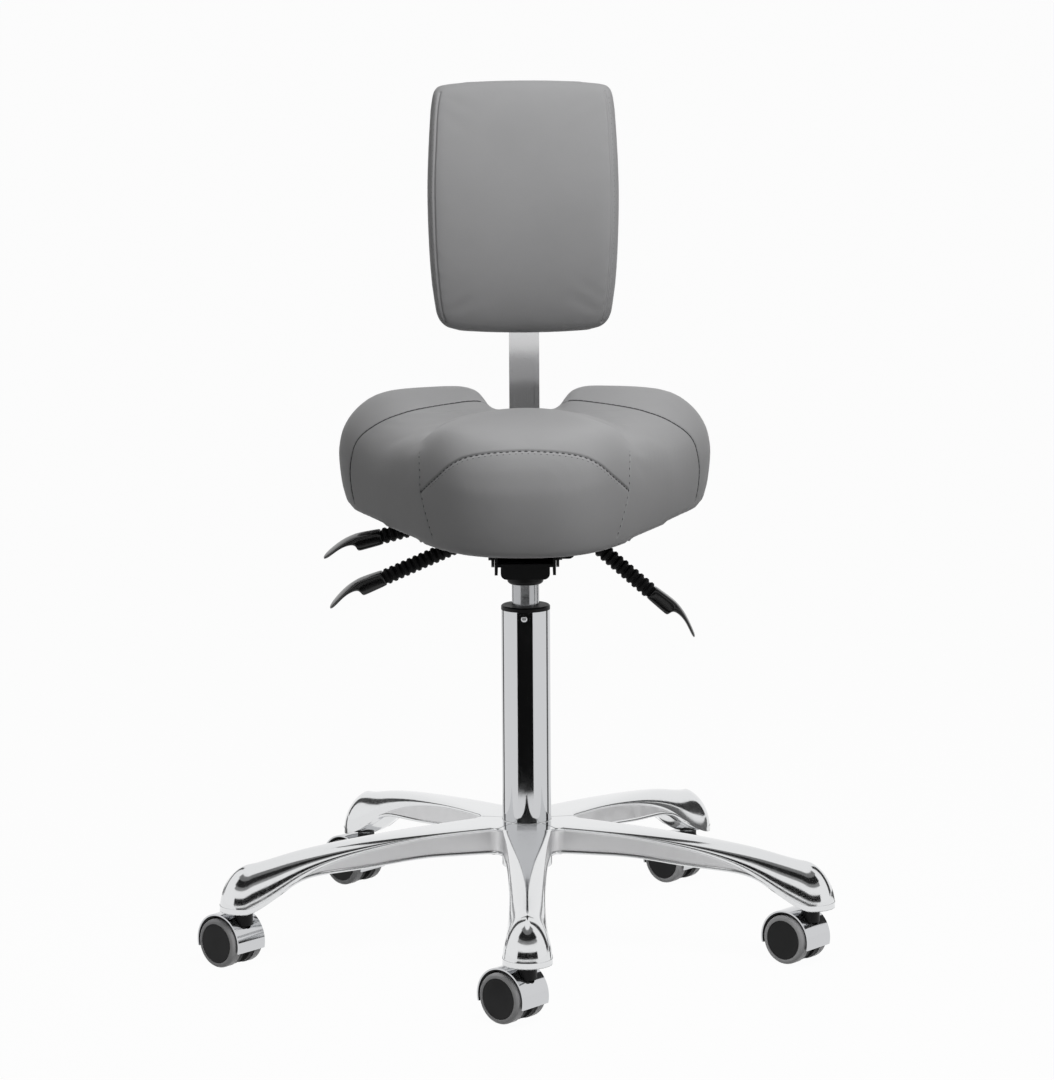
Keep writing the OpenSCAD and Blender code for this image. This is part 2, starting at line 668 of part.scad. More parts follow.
// The flat bar: along under the seat, round one bend, and up behind the backrest
module back_bar() color("gainsboro") difference() {
    rotate([90, 0, 90]) translate([0, 0, -bar_w / 2]) linear_extrude(bar_w) {
        translate([bar_foot_y, bar_low_z])
            square([bar_y + bar_t / 2 - bar_bend_r - bar_foot_y, bar_t]);
        translate([bar_y - bar_t / 2, bar_low_z + bar_bend_r])
            square([bar_t, bar_top_z - bar_low_z - bar_bend_r]);
        intersection() {
            translate([bar_y + bar_t / 2 - bar_bend_r, bar_low_z + bar_bend_r]) difference() {
                circle(r = bar_bend_r);
                circle(r = bar_bend_r - bar_t);
            }
            translate([bar_y + bar_t / 2 - bar_bend_r, bar_low_z])
                square([bar_bend_r, bar_bend_r]);
        }
    }
    // Pressed groove in the front face, with a rounded upper end
    translate([-bar_w / 2 + bar_rim, bar_y - bar_t / 2 - cut, bar_low_z + 2 * bar_bend_r])
        cube([bar_w - 2 * bar_rim, bar_groove_t + cut,
            bar_groove_top_z - bar_w / 2 + bar_rim - bar_low_z - 2 * bar_bend_r]);
    translate([0, bar_y - bar_t / 2 - cut, bar_groove_top_z - bar_w / 2 + bar_rim])
        along_y() cylinder(r = bar_w / 2 - bar_rim, h = bar_groove_t + cut);
}
module back_slider() color("black") difference() {
    union() {
        translate([-slider_w / 2, bar_y - bar_t / 2 - run_fit - slider_wall, slider_z])
            cube([slider_w, bar_t + 2 * run_fit + 2 * slider_wall, slider_h]);
        translate([0, back_face_y + steel_t, slider_z + (slider_h - slider_plate_h) / 2])
            rotate([90, 0, 0]) linear_extrude(steel_t)
                rounded_plate(slider_plate_w, slider_plate_h, 3 * steel_t);
    }
    translate([-bar_w / 2 - run_fit, bar_y - bar_t / 2 - run_fit, slider_z - cut])
        cube([bar_w + 2 * run_fit, bar_t + 2 * run_fit, slider_h + 2 * cut]);
    translate([0, bar_y, slider_z + slider_h / 2])
        along_y() cylinder(r = knob_stem_r + run_fit, h = 2 * slider_w);
}
module lock_knob() color("black")
    translate([0, bar_y + bar_t / 2 + face_gap, slider_z + slider_h / 2]) along_y() {
        cylinder(r = knob_stem_r, h = slider_wall + knob_reach + 2 * knob_stem_r);
        translate([0, 0, slider_wall + knob_reach]) difference() {
            union() {
                cylinder(r = 2.5 * knob_stem_r, h = 0.3 * knob_l);
                translate([0, 0, 0.2 * knob_l])
                    cylinder(r1 = 0.94 * knob_d / 2, r2 = knob_d / 2, h = 0.3 * knob_l);
                translate([0, 0, 0.5 * knob_l])
                    cylinder(r1 = knob_d / 2, r2 = 0.9 * knob_d / 2, h = 0.5 * knob_l);
            }
            for (k = [0 : knob_lobes - 1]) rotate([0, 0, k * 360 / knob_lobes])
                translate([0.62 * knob_d, 0, 0]) cylinder(r = 0.17 * knob_d, h = knob_l + cut);
        }
    }
knob_lobes = 7;

// Half of the backrest's outline from the lower middle to the upper middle: across as a share
// of half the width, up as a share of the height
back_outline_shares = [
    [0, 0], [0.42, 0.002], [0.76, 0.012], [0.89, 0.04], [0.935, 0.10], [0.975, 0.25],
    [0.995, 0.42], [1, 0.58], [0.985, 0.74], [0.962, 0.88], [0.935, 0.965], [0.86, 0.992],
    [0.42, 1], [0, 1]
];
// Rings from the rear face to the front: size as a share, depth as a share of the thickness
back_ring_shares = [
    [0.955, 0], [0.985, 0.10], [1, 0.32], [0.995, 0.55], [0.972, 0.72], [0.94, 0.80],
    [0.88, 0.865], [0.76, 0.925], [0.58, 0.965], [0.34, 0.99]
];
back_pocket_share = 0.89;
back_outline = smooth_loop(both_sides([for (p = back_outline_shares)
    [p[0] * back_w / 2, (p[1] - 0.5) * back_h]]), 2);

module in_back() translate([0, back_face_y, back_z + back_h / 2]) rotate([90, 0, 0]) children();
module back_cushion() color("darkgray") in_back() pad_skin(
    concat(
        [[for (p = back_outline) concat(back_pocket_share * p, back_board_t)],
            [for (p = back_outline) concat(back_pocket_share * p, 0)]],
        [for (r = back_ring_shares) [for (p = back_outline) concat(r[0] * p, r[1] * back_t)]]
    ),
    [0, 0, back_board_t],
    [0, 0, back_t]
);
module back_board() color("saddlebrown") in_back() linear_extrude(back_board_t)
    polygon([for (p = back_outline) (back_pocket_share - 0.05 * (1 - back_pocket_share)) * p]);

// Levers, drawn for the right side of the stool and mirrored for the left.
// Each has a neck out of its clevis, a bend, and a straight run down to the paddle.

// Side, place along Y, length and rise of the neck, slope of the run, start and length of the
// sleeve on the run, and how far the paddle is rolled towards the front
height_lever = [-1, height_lever_y, height_neck_l, height_neck_rise, height_slope,
    height_sleeve_at, height_sleeve_l, left_paddle_roll];
seat_lever = [1, seat_lever_y, seat_neck_l, seat_neck_rise, seat_slope, seat_sleeve_at,
    seat_sleeve_l, 0];
back_lever = [-1, back_lever_y, back_neck_l, back_neck_rise, back_slope, back_sleeve_at,
    back_sleeve_l, left_paddle_roll];

module at_lever(lever) translate([lever[0] * lever_x, lever[1], lever_z])
    mirror([lever[0] < 0 ? 1 : 0, 0, 0]) children();
module on_run(lever) translate([lever[2] * cos(lever[3]), 0, lever[2] * sin(lever[3])])
    rotate([0, lever[4], 0]) children();

module lever_rod(lever) color("dimgray") at_lever(lever) difference() {
    union() {
        translate([0, -clevis_gap / 2 + face_gap, 0]) along_y()
            cylinder(r = clevis_eye_r - face_gap, h = clevis_gap - 2 * face_gap);
        rotate([0, -lever[3], 0]) along_x()
            cylinder(r = lever_rod_d / 2 - lever_neck_step, h = lever[2]);
        on_run(lever) {
            sphere(r = lever_rod_d / 2);
            along_x() cylinder(r = lever_rod_d / 2, h = lever[5] + lever[6] + paddle_grip);
        }
    }
    translate([0, -clevis_gap, 0]) along_y()
        cylinder(r = clevis_pin_r + run_fit, h = 2 * clevis_gap);
}
// Corrugated rubber sleeve: one rib follows the other along its whole length
module lever_sleeve(lever) color("black") at_lever(lever) on_run(lever)
    translate([lever[5], 0, 0]) along_x() rotate_extrude() {
        ribs = floor(lever[6] / rib_pitch);
        pitch = lever[6] / ribs;
        polygon(concat(
            [[lever_rod_d / 2 + seat_fit, 0]],
            [for (k = [0 : ribs - 1]) each [
                [sleeve_d / 2 - 0.28 * pitch, k * pitch],
                [sleeve_d / 2, (k + 0.28) * pitch],
                [sleeve_d / 2, (k + 0.62) * pitch],
                [sleeve_d / 2 - 0.28 * pitch, (k + 0.9) * pitch]
            ]],
            [[sleeve_d / 2 - 0.28 * pitch, lever[6]], [lever_rod_d / 2 + seat_fit, lever[6]]]
        ));
    }
// Side view of a paddle as shares of its length, from the sleeve out
paddle_shares = [
    [0, 0.114], [0.156, 0.125], [0.31, 0.137], [0.42, 0.139], [0.53, 0.123], [0.63, 0.095],
    [0.735, 0.058], [0.83, 0.017], [0.915, -0.022], [0.97, -0.052], [1, -0.075],
    [0.99, -0.1], [0.953, -0.098], [0.875, -0.066], [0.797, -0.03], [0.72, 0.002],
    [0.625, 0.022], [0.53, 0.025], [0.477, 0.011], [0.447, -0.031], [0.4375, -0.1],
    [0.42, -0.114], [0, -0.114]
];
module lever_paddle(lever) color("black") at_lever(lever) on_run(lever)
    translate([lever[5] + lever[6], 0, 0]) rotate([lever[7], 0, 0]) difference() {
        intersection() {
            translate([0, paddle_w / 2, 0]) rotate([90, 0, 0]) linear_extrude(paddle_w)
                polygon(paddle_l * paddle_shares);
            translate([0, 0, -paddle_l]) linear_extrude(2 * paddle_l) {
                translate([0, -0.43 * paddle_w]) square([paddle_l / 2, 0.86 * paddle_w]);
                translate([0.28 * paddle_l, -paddle_w / 2])
                    square([0.72 * paddle_l - paddle_w / 2, paddle_w]);
                translate([paddle_l - paddle_w / 2, 0]) circle(r = paddle_w / 2);
            }
        }
        translate([-cut, 0, 0]) along_x()
            cylinder(r = lever_rod_d / 2 + seat_fit, h = paddle_grip + 2 * cut);
    }

star_base();
column_tube();
guide_bush();
lift_rod();
gas_cylinder();
mechanism_housing();
seat_plate();
seat_board();
seat_cushion();
seat_screws();
back_bracket();
back_bar();
back_slider();
back_board();
back_cushion();
lock_knob();
lever_rod(height_lever);  // height_lever_rod
lever_sleeve(height_lever);  // height_lever_sleeve
lever_paddle(height_lever);  // height_lever_paddle
lever_rod(seat_lever);  // seat_lever_rod
lever_sleeve(seat_lever);  // seat_lever_sleeve
lever_paddle(seat_lever);  // seat_lever_paddle
lever_rod(back_lever);  // back_lever_rod
lever_sleeve(back_lever);  // back_lever_sleeve
lever_paddle(back_lever);  // back_lever_paddle
at_caster(0) caster_hood();  // caster_1_hood
at_caster(0) caster_core();  // caster_1_core
at_caster(0) caster_pins();  // caster_1_pins
at_caster(0) at_wheel(1) wheel_hub();  // caster_1_left_hub
at_caster(0) at_wheel(1) wheel_tread();  // caster_1_left_tread
at_caster(0) at_wheel(-1) wheel_hub();  // caster_1_right_hub
at_caster(0) at_wheel(-1) wheel_tread();  // caster_1_right_tread
at_caster(1) caster_hood();  // caster_2_hood
at_caster(1) caster_core();  // caster_2_core
at_caster(1) caster_pins();  // caster_2_pins
at_caster(1) at_wheel(1) wheel_hub();  // caster_2_left_hub
at_caster(1) at_wheel(1) wheel_tread();  // caster_2_left_tread
at_caster(1) at_wheel(-1) wheel_hub();  // caster_2_right_hub
at_caster(1) at_wheel(-1) wheel_tread();  // caster_2_right_tread
at_caster(2) caster_hood();  // caster_3_hood
at_caster(2) caster_core();  // caster_3_core
at_caster(2) caster_pins();  // caster_3_pins
at_caster(2) at_wheel(1) wheel_hub();  // caster_3_left_hub
at_caster(2) at_wheel(1) wheel_tread();  // caster_3_left_tread
at_caster(2) at_wheel(-1) wheel_hub();  // caster_3_right_hub
at_caster(2) at_wheel(-1) wheel_tread();  // caster_3_right_tread
at_caster(3) caster_hood();  // caster_4_hood
at_caster(3) caster_core();  // caster_4_core
at_caster(3) caster_pins();  // caster_4_pins
at_caster(3) at_wheel(1) wheel_hub();  // caster_4_left_hub
at_caster(3) at_wheel(1) wheel_tread();  // caster_4_left_tread
at_caster(3) at_wheel(-1) wheel_hub();  // caster_4_right_hub
at_caster(3) at_wheel(-1) wheel_tread();  // caster_4_right_tread
at_caster(4) caster_hood();  // caster_5_hood
at_caster(4) caster_core();  // caster_5_core
at_caster(4) caster_pins();  // caster_5_pins
at_caster(4) at_wheel(1) wheel_hub();  // caster_5_left_hub
at_caster(4) at_wheel(1) wheel_tread();  // caster_5_left_tread
at_caster(4) at_wheel(-1) wheel_hub();  // caster_5_right_hub
at_caster(4) at_wheel(-1) wheel_tread();  // caster_5_right_tread
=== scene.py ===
# %% [markdown]
# A podiatry stool: a saddle seat with a small backrest, a gas lift, a tilt mechanism worked by
# three levers, and a polished star base on hooded casters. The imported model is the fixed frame:
# it says where every piece is. This lesson dresses it, one real piece and one finish at a time.

# %% Load the frame
import json
import math

import bmesh
import bpy
import numpy as np
from mathutils import Matrix, Vector
from mathutils.bvhtree import BVHTree


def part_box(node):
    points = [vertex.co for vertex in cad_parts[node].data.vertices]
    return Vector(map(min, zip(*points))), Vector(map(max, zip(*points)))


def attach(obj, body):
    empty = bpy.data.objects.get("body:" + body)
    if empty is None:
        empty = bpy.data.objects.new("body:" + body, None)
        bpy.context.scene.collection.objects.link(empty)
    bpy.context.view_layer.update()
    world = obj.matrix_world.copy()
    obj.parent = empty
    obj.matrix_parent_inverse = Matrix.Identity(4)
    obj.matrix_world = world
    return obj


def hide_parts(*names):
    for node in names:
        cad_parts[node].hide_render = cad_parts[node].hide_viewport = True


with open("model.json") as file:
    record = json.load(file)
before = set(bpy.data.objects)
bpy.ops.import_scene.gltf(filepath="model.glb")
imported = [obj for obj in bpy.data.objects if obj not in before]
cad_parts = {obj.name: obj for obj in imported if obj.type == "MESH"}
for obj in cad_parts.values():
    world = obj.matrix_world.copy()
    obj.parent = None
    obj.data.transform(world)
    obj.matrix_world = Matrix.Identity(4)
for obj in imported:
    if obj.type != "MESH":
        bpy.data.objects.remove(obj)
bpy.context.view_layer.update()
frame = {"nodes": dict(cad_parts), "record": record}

# %% [markdown]
# Lengths are written in millimetres, the way a maker reads them off a ruler, and one factor
# turns them into Blender's metres.

# %% Units and objects
MM = 0.001


def mm(*values):
    """A point or a size in millimetres, in metres."""
    return tuple(v * MM for v in values)


def box_mm(node):
    """Lowest and highest corner of a CAD node in millimetres."""
    low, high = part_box(node)
    return np.array(low) / MM, np.array(high) / MM


def new_object(name, data):
    """An object in the scene that holds a mesh, a lamp or a camera."""
    item = bpy.data.objects.new(name, data)
    bpy.context.scene.collection.objects.link(item)
    return item


# %% [markdown]
# The photograph was taken from seat height, from far away with a long lens, so the stool shows
# almost no perspective. The frame is 1054 by 1080 pixels, and the lens is written as a focal
# length in those pixels. The stool leans a hair to the left there, so the camera is rolled.

# %% Camera
FRAME_H_PX = 1080
FOCAL_PX = 3710
SENSOR_MM = 36
CLIP_END_M = 500
CAMERA_PLACE_MM = (1.86, -3723, 1007)
PITCH_DOWN_DEG = 8.97
ROLL_DEG = 0.35

camera_data = bpy.data.cameras.new("photo_camera")
camera_data.sensor_fit = "VERTICAL"
camera_data.sensor_width = SENSOR_MM
camera_data.sensor_height = SENSOR_MM
camera_data.lens = SENSOR_MM * FOCAL_PX / FRAME_H_PX
camera_data.clip_end = CLIP_END_M
camera = new_object("photo_camera", camera_data)
tilt = Matrix.Rotation(math.radians(90 - PITCH_DOWN_DEG), 4, "X")
roll = Matrix.Rotation(math.radians(-ROLL_DEG), 4, "Z")
camera.matrix_world = Matrix.Translation(mm(*CAMERA_PLACE_MM)) @ tilt @ roll
bpy.context.scene.camera = camera
print("lens", round(camera_data.lens, 1), "mm")

# %% [markdown]
# A material is a small graph. One function adds a node: its settings are keywords, and a
# dictionary holds its sockets, each with a value or with another node's output. Colours are
# read as sRGB hex values, as a paint chart gives them, and turned to linear light.

# %% Nodes and colours
WHITE = (1, 1, 1, 1)


def wire(tree, node, sockets):
    """Give each named socket of a node its value, or the output of another node."""
    for name, value in sockets.items():
        if isinstance(value, bpy.types.NodeSocket):
            tree.links.new(value, node.inputs[name])
        else:
            node.inputs[name].default_value = value


def add(tree, kind, sockets=None, **settings):
    """Add one node with its settings and sockets."""
    node = tree.nodes.new(kind)
    for name, value in settings.items():
        setattr(node, name, value)
    wire(tree, node, sockets or {})
    return node


def linear(hex_colour):
    """An sRGB hex colour as linear red, green, blue and alpha."""
    parts = [int(hex_colour[i:i + 2], 16) / 255 for i in (1, 3, 5)]
    return tuple(c / 12.92 if c <= 0.04045 else ((c + 0.055) / 1.055) ** 2.4 for c in parts) + (1,)


def per_mm(size):
    """Scale of a pattern whose features are size millimetres apart."""
    return 1 / (size * MM)


def empty_tree(block):
    """The emptied node graph of a material or a world."""
    block.use_nodes = True
    block.node_tree.nodes.clear()
    return block.node_tree


def new_material(name):
    """An empty material with its output and shader, and the coordinates of the object."""
    material = bpy.data.materials.new(name)
    tree = empty_tree(material)
    shader = add(tree, "ShaderNodeBsdfPrincipled")
    add(tree, "ShaderNodeOutputMaterial", {"Surface": shader.outputs["BSDF"]})
    place = add(tree, "ShaderNodeTexCoord").outputs["Object"]
    return material, tree, shader, place


# %% Nodes that most finishes share


def joined(tree, operation, first, second):
    """Two values joined by one operation."""
    return add(tree, "ShaderNodeMath", {0: first, 1: second}, operation=operation).outputs[0]


def mixed_shader(tree, share, first, second):
    """One shader node over another, by share."""
    return add(tree, "ShaderNodeMixShader", {
        "Fac": share, 1: first.outputs[0], 2: second.outputs[0]})


def mixed_colour(tree, share, first, second):
    """A colour between two, by share."""
    return add(tree, "ShaderNodeMix", {"Factor": share, 6: first, 7: second},
               data_type="RGBA").outputs[2]


def noise(tree, place, size_mm, detail):
    """Soft noise with features of a size in millimetres."""
    return add(tree, "ShaderNodeTexNoise", {
        "Vector": place, "Scale": per_mm(size_mm), "Detail": detail}).outputs[0]


def long_grain(tree, place, sizes_mm, detail):
    """Noise with another size in millimetres along each axis, as scratches and wood have."""
    stretched = add(tree, "ShaderNodeMapping", {
        "Vector": place, "Scale": tuple(per_mm(size) for size in sizes_mm)})
    return add(tree, "ShaderNodeTexNoise", {
        "Vector": stretched.outputs[0], "Scale": 1.0, "Detail": detail}).outputs[0]


def ranged(tree, value, given, wanted):
    """A value moved from one range to another."""
    return add(tree, "ShaderNodeMapRange", {
        "Value": value, "From Min": given[0], "From Max": given[1],
        "To Min": wanted[0], "To Max": wanted[1]}).outputs[0]


def bump(tree, height, strength, depth_mm):
    """The shading of a relief of a depth in millimetres."""
    return add(tree, "ShaderNodeBump", {
        "Height": height, "Strength": strength, "Distance": depth_mm * MM}).outputs[0]


# %% [markdown]
# The studio is a pale floor that runs to the horizon, a round softbox above, near enough to
# light the backrest more than the seat, and a dim room around. Bright metal shows the room, so
# black flags stand behind the camera and at the sides, as a product photographer sets them:
# they are what draws the dark lines in the chrome. They are seen by reflections alone.

# %% Studio
FLOOR_RADIUS_M = 400
FLOOR_CORNERS = 96
FLOOR_GREY = linear("#8E8E8E")
FLOOR_SEEN = linear("#E0E0E0")
FLOOR_GLOW = 0.97
ROOM_LEVEL = 0.09
LAMP_WATTS = 15.2
LAMP_AIM = Vector((0, 0, 0.55))
LAMP_DISTANCE_M = 1.35
LAMP_WIDTH_M = 1.0
LAMP_FRONT_DEG = 34
LAMP_RIGHT_DEG = 20


def camera_or_mirror(tree):
    """1 for rays that come straight from the camera, from a mirror or through glass."""
    rays = add(tree, "ShaderNodeLightPath").outputs
    either = joined(tree, "MAXIMUM", rays["Is Camera Ray"], rays["Is Glossy Ray"])
    return joined(tree, "MAXIMUM", either, rays["Is Transmission Ray"])


def make_world():
    """A dim room, which looks white to the camera and in mirrors."""
    world = bpy.data.worlds.new("studio_room")
    tree = empty_tree(world)
    room = add(tree, "ShaderNodeBackground", {"Color": WHITE, "Strength": ROOM_LEVEL})
    white = add(tree, "ShaderNodeBackground", {"Color": WHITE, "Strength": 1.0})
    mix = mixed_shader(tree, camera_or_mirror(tree), room, white)
    add(tree, "ShaderNodeOutputWorld", {"Surface": mix.outputs[0]})
    bpy.context.scene.world = world


def make_floor():
    """A matt pale floor. Seen by the camera it is lifted towards white and keeps the shadow."""
    bpy.ops.mesh.primitive_circle_add(
        vertices=FLOOR_CORNERS, radius=FLOOR_RADIUS_M, fill_type="NGON")
    floor = bpy.context.object
    floor.name = "studio_floor"
    material = bpy.data.materials.new("pale_floor_paint")
    tree = empty_tree(material)
    paint = add(tree, "ShaderNodeBsdfDiffuse", {"Color": FLOOR_GREY})
    lifted = add(tree, "ShaderNodeBsdfDiffuse", {"Color": FLOOR_SEEN})
    glow = add(tree, "ShaderNodeEmission", {"Color": WHITE, "Strength": 1.0})
    seen = mixed_shader(tree, FLOOR_GLOW, lifted, glow)
    mix = mixed_shader(tree, camera_or_mirror(tree), paint, seen)
    add(tree, "ShaderNodeOutputMaterial", {"Surface": mix.outputs[0]})
    floor.data.materials.append(material)


def make_lamp():
    """A round softbox above, aimed at the seat."""
    data = bpy.data.lights.new("overhead_softbox", "AREA")
    data.shape = "DISK"
    data.size = LAMP_WIDTH_M
    data.energy = LAMP_WATTS
    lamp = new_object("overhead_softbox", data)
    turn = Matrix.Rotation(math.radians(LAMP_RIGHT_DEG), 4, "Y") @ Matrix.Rotation(
        math.radians(LAMP_FRONT_DEG), 4, "X")
    lamp.matrix_world = Matrix.Translation(LAMP_AIM) @ turn @ Matrix.Translation(
        (0, 0, LAMP_DISTANCE_M))
    lamp.visible_glossy = False
    lamp.visible_camera = False


bpy.context.scene.view_settings.view_transform = "Standard"
make_world()
make_floor()
make_lamp()
print("studio: floor, room and softbox")

# %% Black flags
# Each flag is an arc round the stool: from one azimuth to another, where 0 is the camera's
# side and 90 the right, between two elevations, and how dark it is.
FLAG_DISTANCE_M = 7
FLAG_STEPS = 16
FLAGS = {
    "flag_behind_camera": (-48, 48, 3, 16, "#1C1C1C"),
    "flag_boom_low": (-64, 64, 30, 37, "#8A8A8A"),
    "flag_boom": (-70, 70, 37, 52, "#242424"),
    "flag_boom_high": (-80, 80, 52, 64, "#7C7C7C"),
    "flag_right_edge": (104, 122, 2, 60, "#3A3A3A"),
    "flag_left_edge": (-136, -122, 2, 60, "#4A4A4A"),
}
# Upright metal shows the floor instead, so cloths lie on it too: from one azimuth to another,
# between two distances in metres.
FLOOR_CLOTHS = {
    "cloth_in_front": (-41, 33, 0.72, 2.7, "#141414"),
    "cloth_right": (112, 126, 0.4, 5, "#6A6A6A"),
    "cloth_left": (-140, -126, 0.4, 5, "#5A5A5A"),
}
CLOTH_LIFT_M = 0.002


def round_about(turn, rise):
    """A place on the flags' sphere at an azimuth in radians and an elevation in degrees."""
    level = FLAG_DISTANCE_M * math.cos(math.radians(rise))
    return (level * math.sin(turn), -level * math.cos(turn),
            FLAG_DISTANCE_M * math.sin(math.radians(rise)))


def on_floor(turn, distance):
    """A place just above the floor at an azimuth in radians and a distance in metres."""
    return distance * math.sin(turn), -distance * math.cos(turn), CLOTH_LIFT_M


def make_flag(name, place_at, start, end, low, high, shade):
    """One flag or cloth, seen by reflections alone."""
    rim = []
    for i in range(FLAG_STEPS + 1):
        turn = math.radians(start + (end - start) * i / FLAG_STEPS)
        rim += [place_at(turn, low), place_at(turn, high)]
    faces = [(2 * i, 2 * i + 2, 2 * i + 3, 2 * i + 1) for i in range(FLAG_STEPS)]
    mesh = bpy.data.meshes.new(name)
    mesh.from_pydata(rim, [], faces)
    flag = new_object(name, mesh)
    material = bpy.data.materials.new(name + "_cloth")
    tree = empty_tree(material)
    cloth = add(tree, "ShaderNodeEmission", {"Color": linear(shade), "Strength": 1.0})
    add(tree, "ShaderNodeOutputMaterial", {"Surface": cloth.outputs[0]})
    mesh.materials.append(material)
    flag.visible_camera = False
    flag.visible_diffuse = False
    flag.visible_shadow = False
    flag.visible_transmission = False


for name, values in FLAGS.items():
    make_flag(name, round_about, *values)
for name, values in FLOOR_CLOTHS.items():
    make_flag(name, on_floor, *values)
print("flags:", len(FLAGS), "and cloths:", len(FLOOR_CLOTHS))

# %% [markdown]
# Metals first. Polished cast aluminium is a mirror with a faint waviness from the buffing
# wheel; the recesses of the same casting are left as brushed by the belt, with fine scratches
# along the arm. Chrome is darker and sharper than polished aluminium.

# %% Metals


def polished_cast_aluminium(name):
    """Cast aluminium, ground and buffed: a mirror that wavers a little, with fine haze."""
    material, tree, shader, place = new_material(name)
    wire(tree, shader, {
        "Base Color": linear("#DEDFE0"), "Metallic": 1,
        "Roughness": ranged(tree, noise(tree, place, 6, 6), (0.3, 0.8), (0.08, 0.15)),
        "Normal": bump(tree, noise(tree, place, 38, 2), 0.25, 0.4)})
    return material


def brushed_cast_aluminium(name):
    """The same casting where the belt left it: fine upright scratches, satin and paler."""
    material, tree, shader, place = new_material(name)
    wire(tree, shader, {
        "Base Color": linear("#DADADB"), "Metallic": 1,
        "Roughness": ranged(tree, noise(tree, place, 14, 3), (0.3, 0.7), (0.34, 0.5)),
        "Normal": bump(tree, long_grain(tree, place, (0.9, 0.9, 22), 4), 0.35, 0.15)})
    return material


def chromed_steel(name, colour, roughest):
    """Chrome over steel: an even, cool mirror with a trace of orange peel."""
    material, tree, shader, place = new_material(name)
    peel = noise(tree, place, 9, 3)
    wire(tree, shader, {
        "Base Color": linear(colour), "Metallic": 1,
        "Roughness": ranged(tree, peel, (0.3, 0.8), (0.5 * roughest, roughest)),
        "Normal": bump(tree, peel, 0.06, 0.1)})
    return material


def satin_chromed_steel(name):
    """Chrome over steel brushed lengthwise, as on the flat bar: it mirrors the seat below."""
    material, tree, shader, place = new_material(name)
    wire(tree, shader, {
        "Base Color": linear("#EAEAEB"), "Metallic": 0.8, "Roughness": 0.13,
        "Normal": bump(tree, long_grain(tree, place, (0.8, 0.8, 60), 3), 0.4, 0.12)})
    return material


def zinc_plated_steel(name):
    """Zinc plating: satin and pale, in small crystals that catch the light unevenly."""
    material, tree, shader, place = new_material(name)
    spangle = add(tree, "ShaderNodeTexVoronoi", {"Vector": place, "Scale": per_mm(2.5)})
    wire(tree, shader, {
        "Base Color": linear("#B9BBBD"), "Metallic": 1,
        "Roughness": ranged(tree, spangle.outputs["Distance"], (0, 0.8), (0.26, 0.42))})
    return material


FINISH = {
    "polished_cast_aluminium": polished_cast_aluminium("polished_cast_aluminium"),
    "brushed_cast_aluminium": brushed_cast_aluminium("brushed_cast_aluminium"),
    "chromed_steel": chromed_steel("chromed_steel", "#CACBCD", 0.075),
    "ground_chromed_steel": chromed_steel("ground_chromed_steel", "#ACADAF", 0.24),
    "satin_chromed_steel": satin_chromed_steel("satin_chromed_steel"),
    "zinc_plated_steel": zinc_plated_steel("zinc_plated_steel"),
}
print("metals:", ", ".join(FINISH))

# %% [markdown]
# The black parts differ only in how they were made. Powder coat cures to a soft orange peel,
# injection-moulded nylon has a fine spark-eroded texture, the paddles come from a polished
# mould and shine, and the rubber sleeves are dull. The treads are a soft grey polyurethane.

# %% Plastics, paint and rubber
# Colour, roughness, size and depth of the grain in millimetres, shine, tint
MOULDED = {
    "black_powder_coat": ("#0A0A0B", 0.42, 1.6, 0.10, 0.2, 0.002),
    "black_moulded_nylon": ("#0A0A0B", 0.45, 0.9, 0.06, 0.2, 0.002),
    "black_polished_nylon": ("#0B0B0C", 0.2, 3.0, 0.03, 0.5, 0.0),
    "wheel_disc_nylon": ("#1C1C1D", 0.62, 0.9, 0.08, 0.25, 0.01),
    "black_rubber": ("#0A0A0B", 0.55, 1.2, 0.10, 0.15, 0.003),
    "grey_polyurethane": ("#D0D0D1", 0.4, 1.4, 0.05, 0.5, 0.05),
}


def moulded(name, colour, roughness, grain_mm, grain_depth_mm, shine, tint):
    """A moulded or painted surface: one colour, a fine grain, and faint variation of gloss.
    The shine is the specular level, and the tint how far dust greys the colour."""
    material, tree, shader, place = new_material(name)
    cloud = noise(tree, place, 25, 3)
    dust = joined(tree, "MULTIPLY", cloud, tint)
    wire(tree, shader, {
        "Base Color": mixed_colour(tree, dust, linear(colour), WHITE),
        "Roughness": ranged(tree, cloud, (0.25, 0.75),
                            (0.88 * roughness, min(1, 1.12 * roughness))),
        "Specular IOR Level": shine,
        "Normal": bump(tree, noise(tree, place, grain_mm, 4), 0.5, grain_depth_mm)})
    return material


FINISH.update({name: moulded(name, *values) for name, values in MOULDED.items()})
print("moulded:", ", ".join(MOULDED))

# %% [markdown]
# The cover is upholstery vinyl: a knitted cloth coated with soft PVC and embossed with a fine
# leather grain. The real pebbles are under a millimetre, too fine to show from here, so they
# are drawn at 1.4 mm. Broad stretch marks and a little sheen at grazing angles keep it soft.

# %% Vinyl, thread, felt and plywood
# The wave texture shows its bands 20 times closer than its scale says
WAVE_FACTOR = 20


def upholstery_vinyl(name):
    """Embossed upholstery vinyl: semi-matt, pebbled, faintly cloudy where it is stretched."""
    material, tree, shader, place = new_material(name)
    pebble = add(tree, "ShaderNodeTexVoronoi", {"Vector": place, "Scale": per_mm(1.4)},
                 feature="SMOOTH_F1").outputs["Distance"]
    fine = noise(tree, place, 0.9, 3)
    wire(tree, shader, {
        "Base Color": mixed_colour(tree, noise(tree, place, 60, 4), linear("#A6A6A7"),
                                   linear("#B0B0B1")),
        "Roughness": ranged(tree, fine, (0.3, 0.7), (0.48, 0.62)),
        "Sheen Weight": 0.08, "Sheen Roughness": 0.5,
        "Normal": bump(tree, joined(tree, "ADD", pebble, fine), 0.3, 0.12)})
    return material


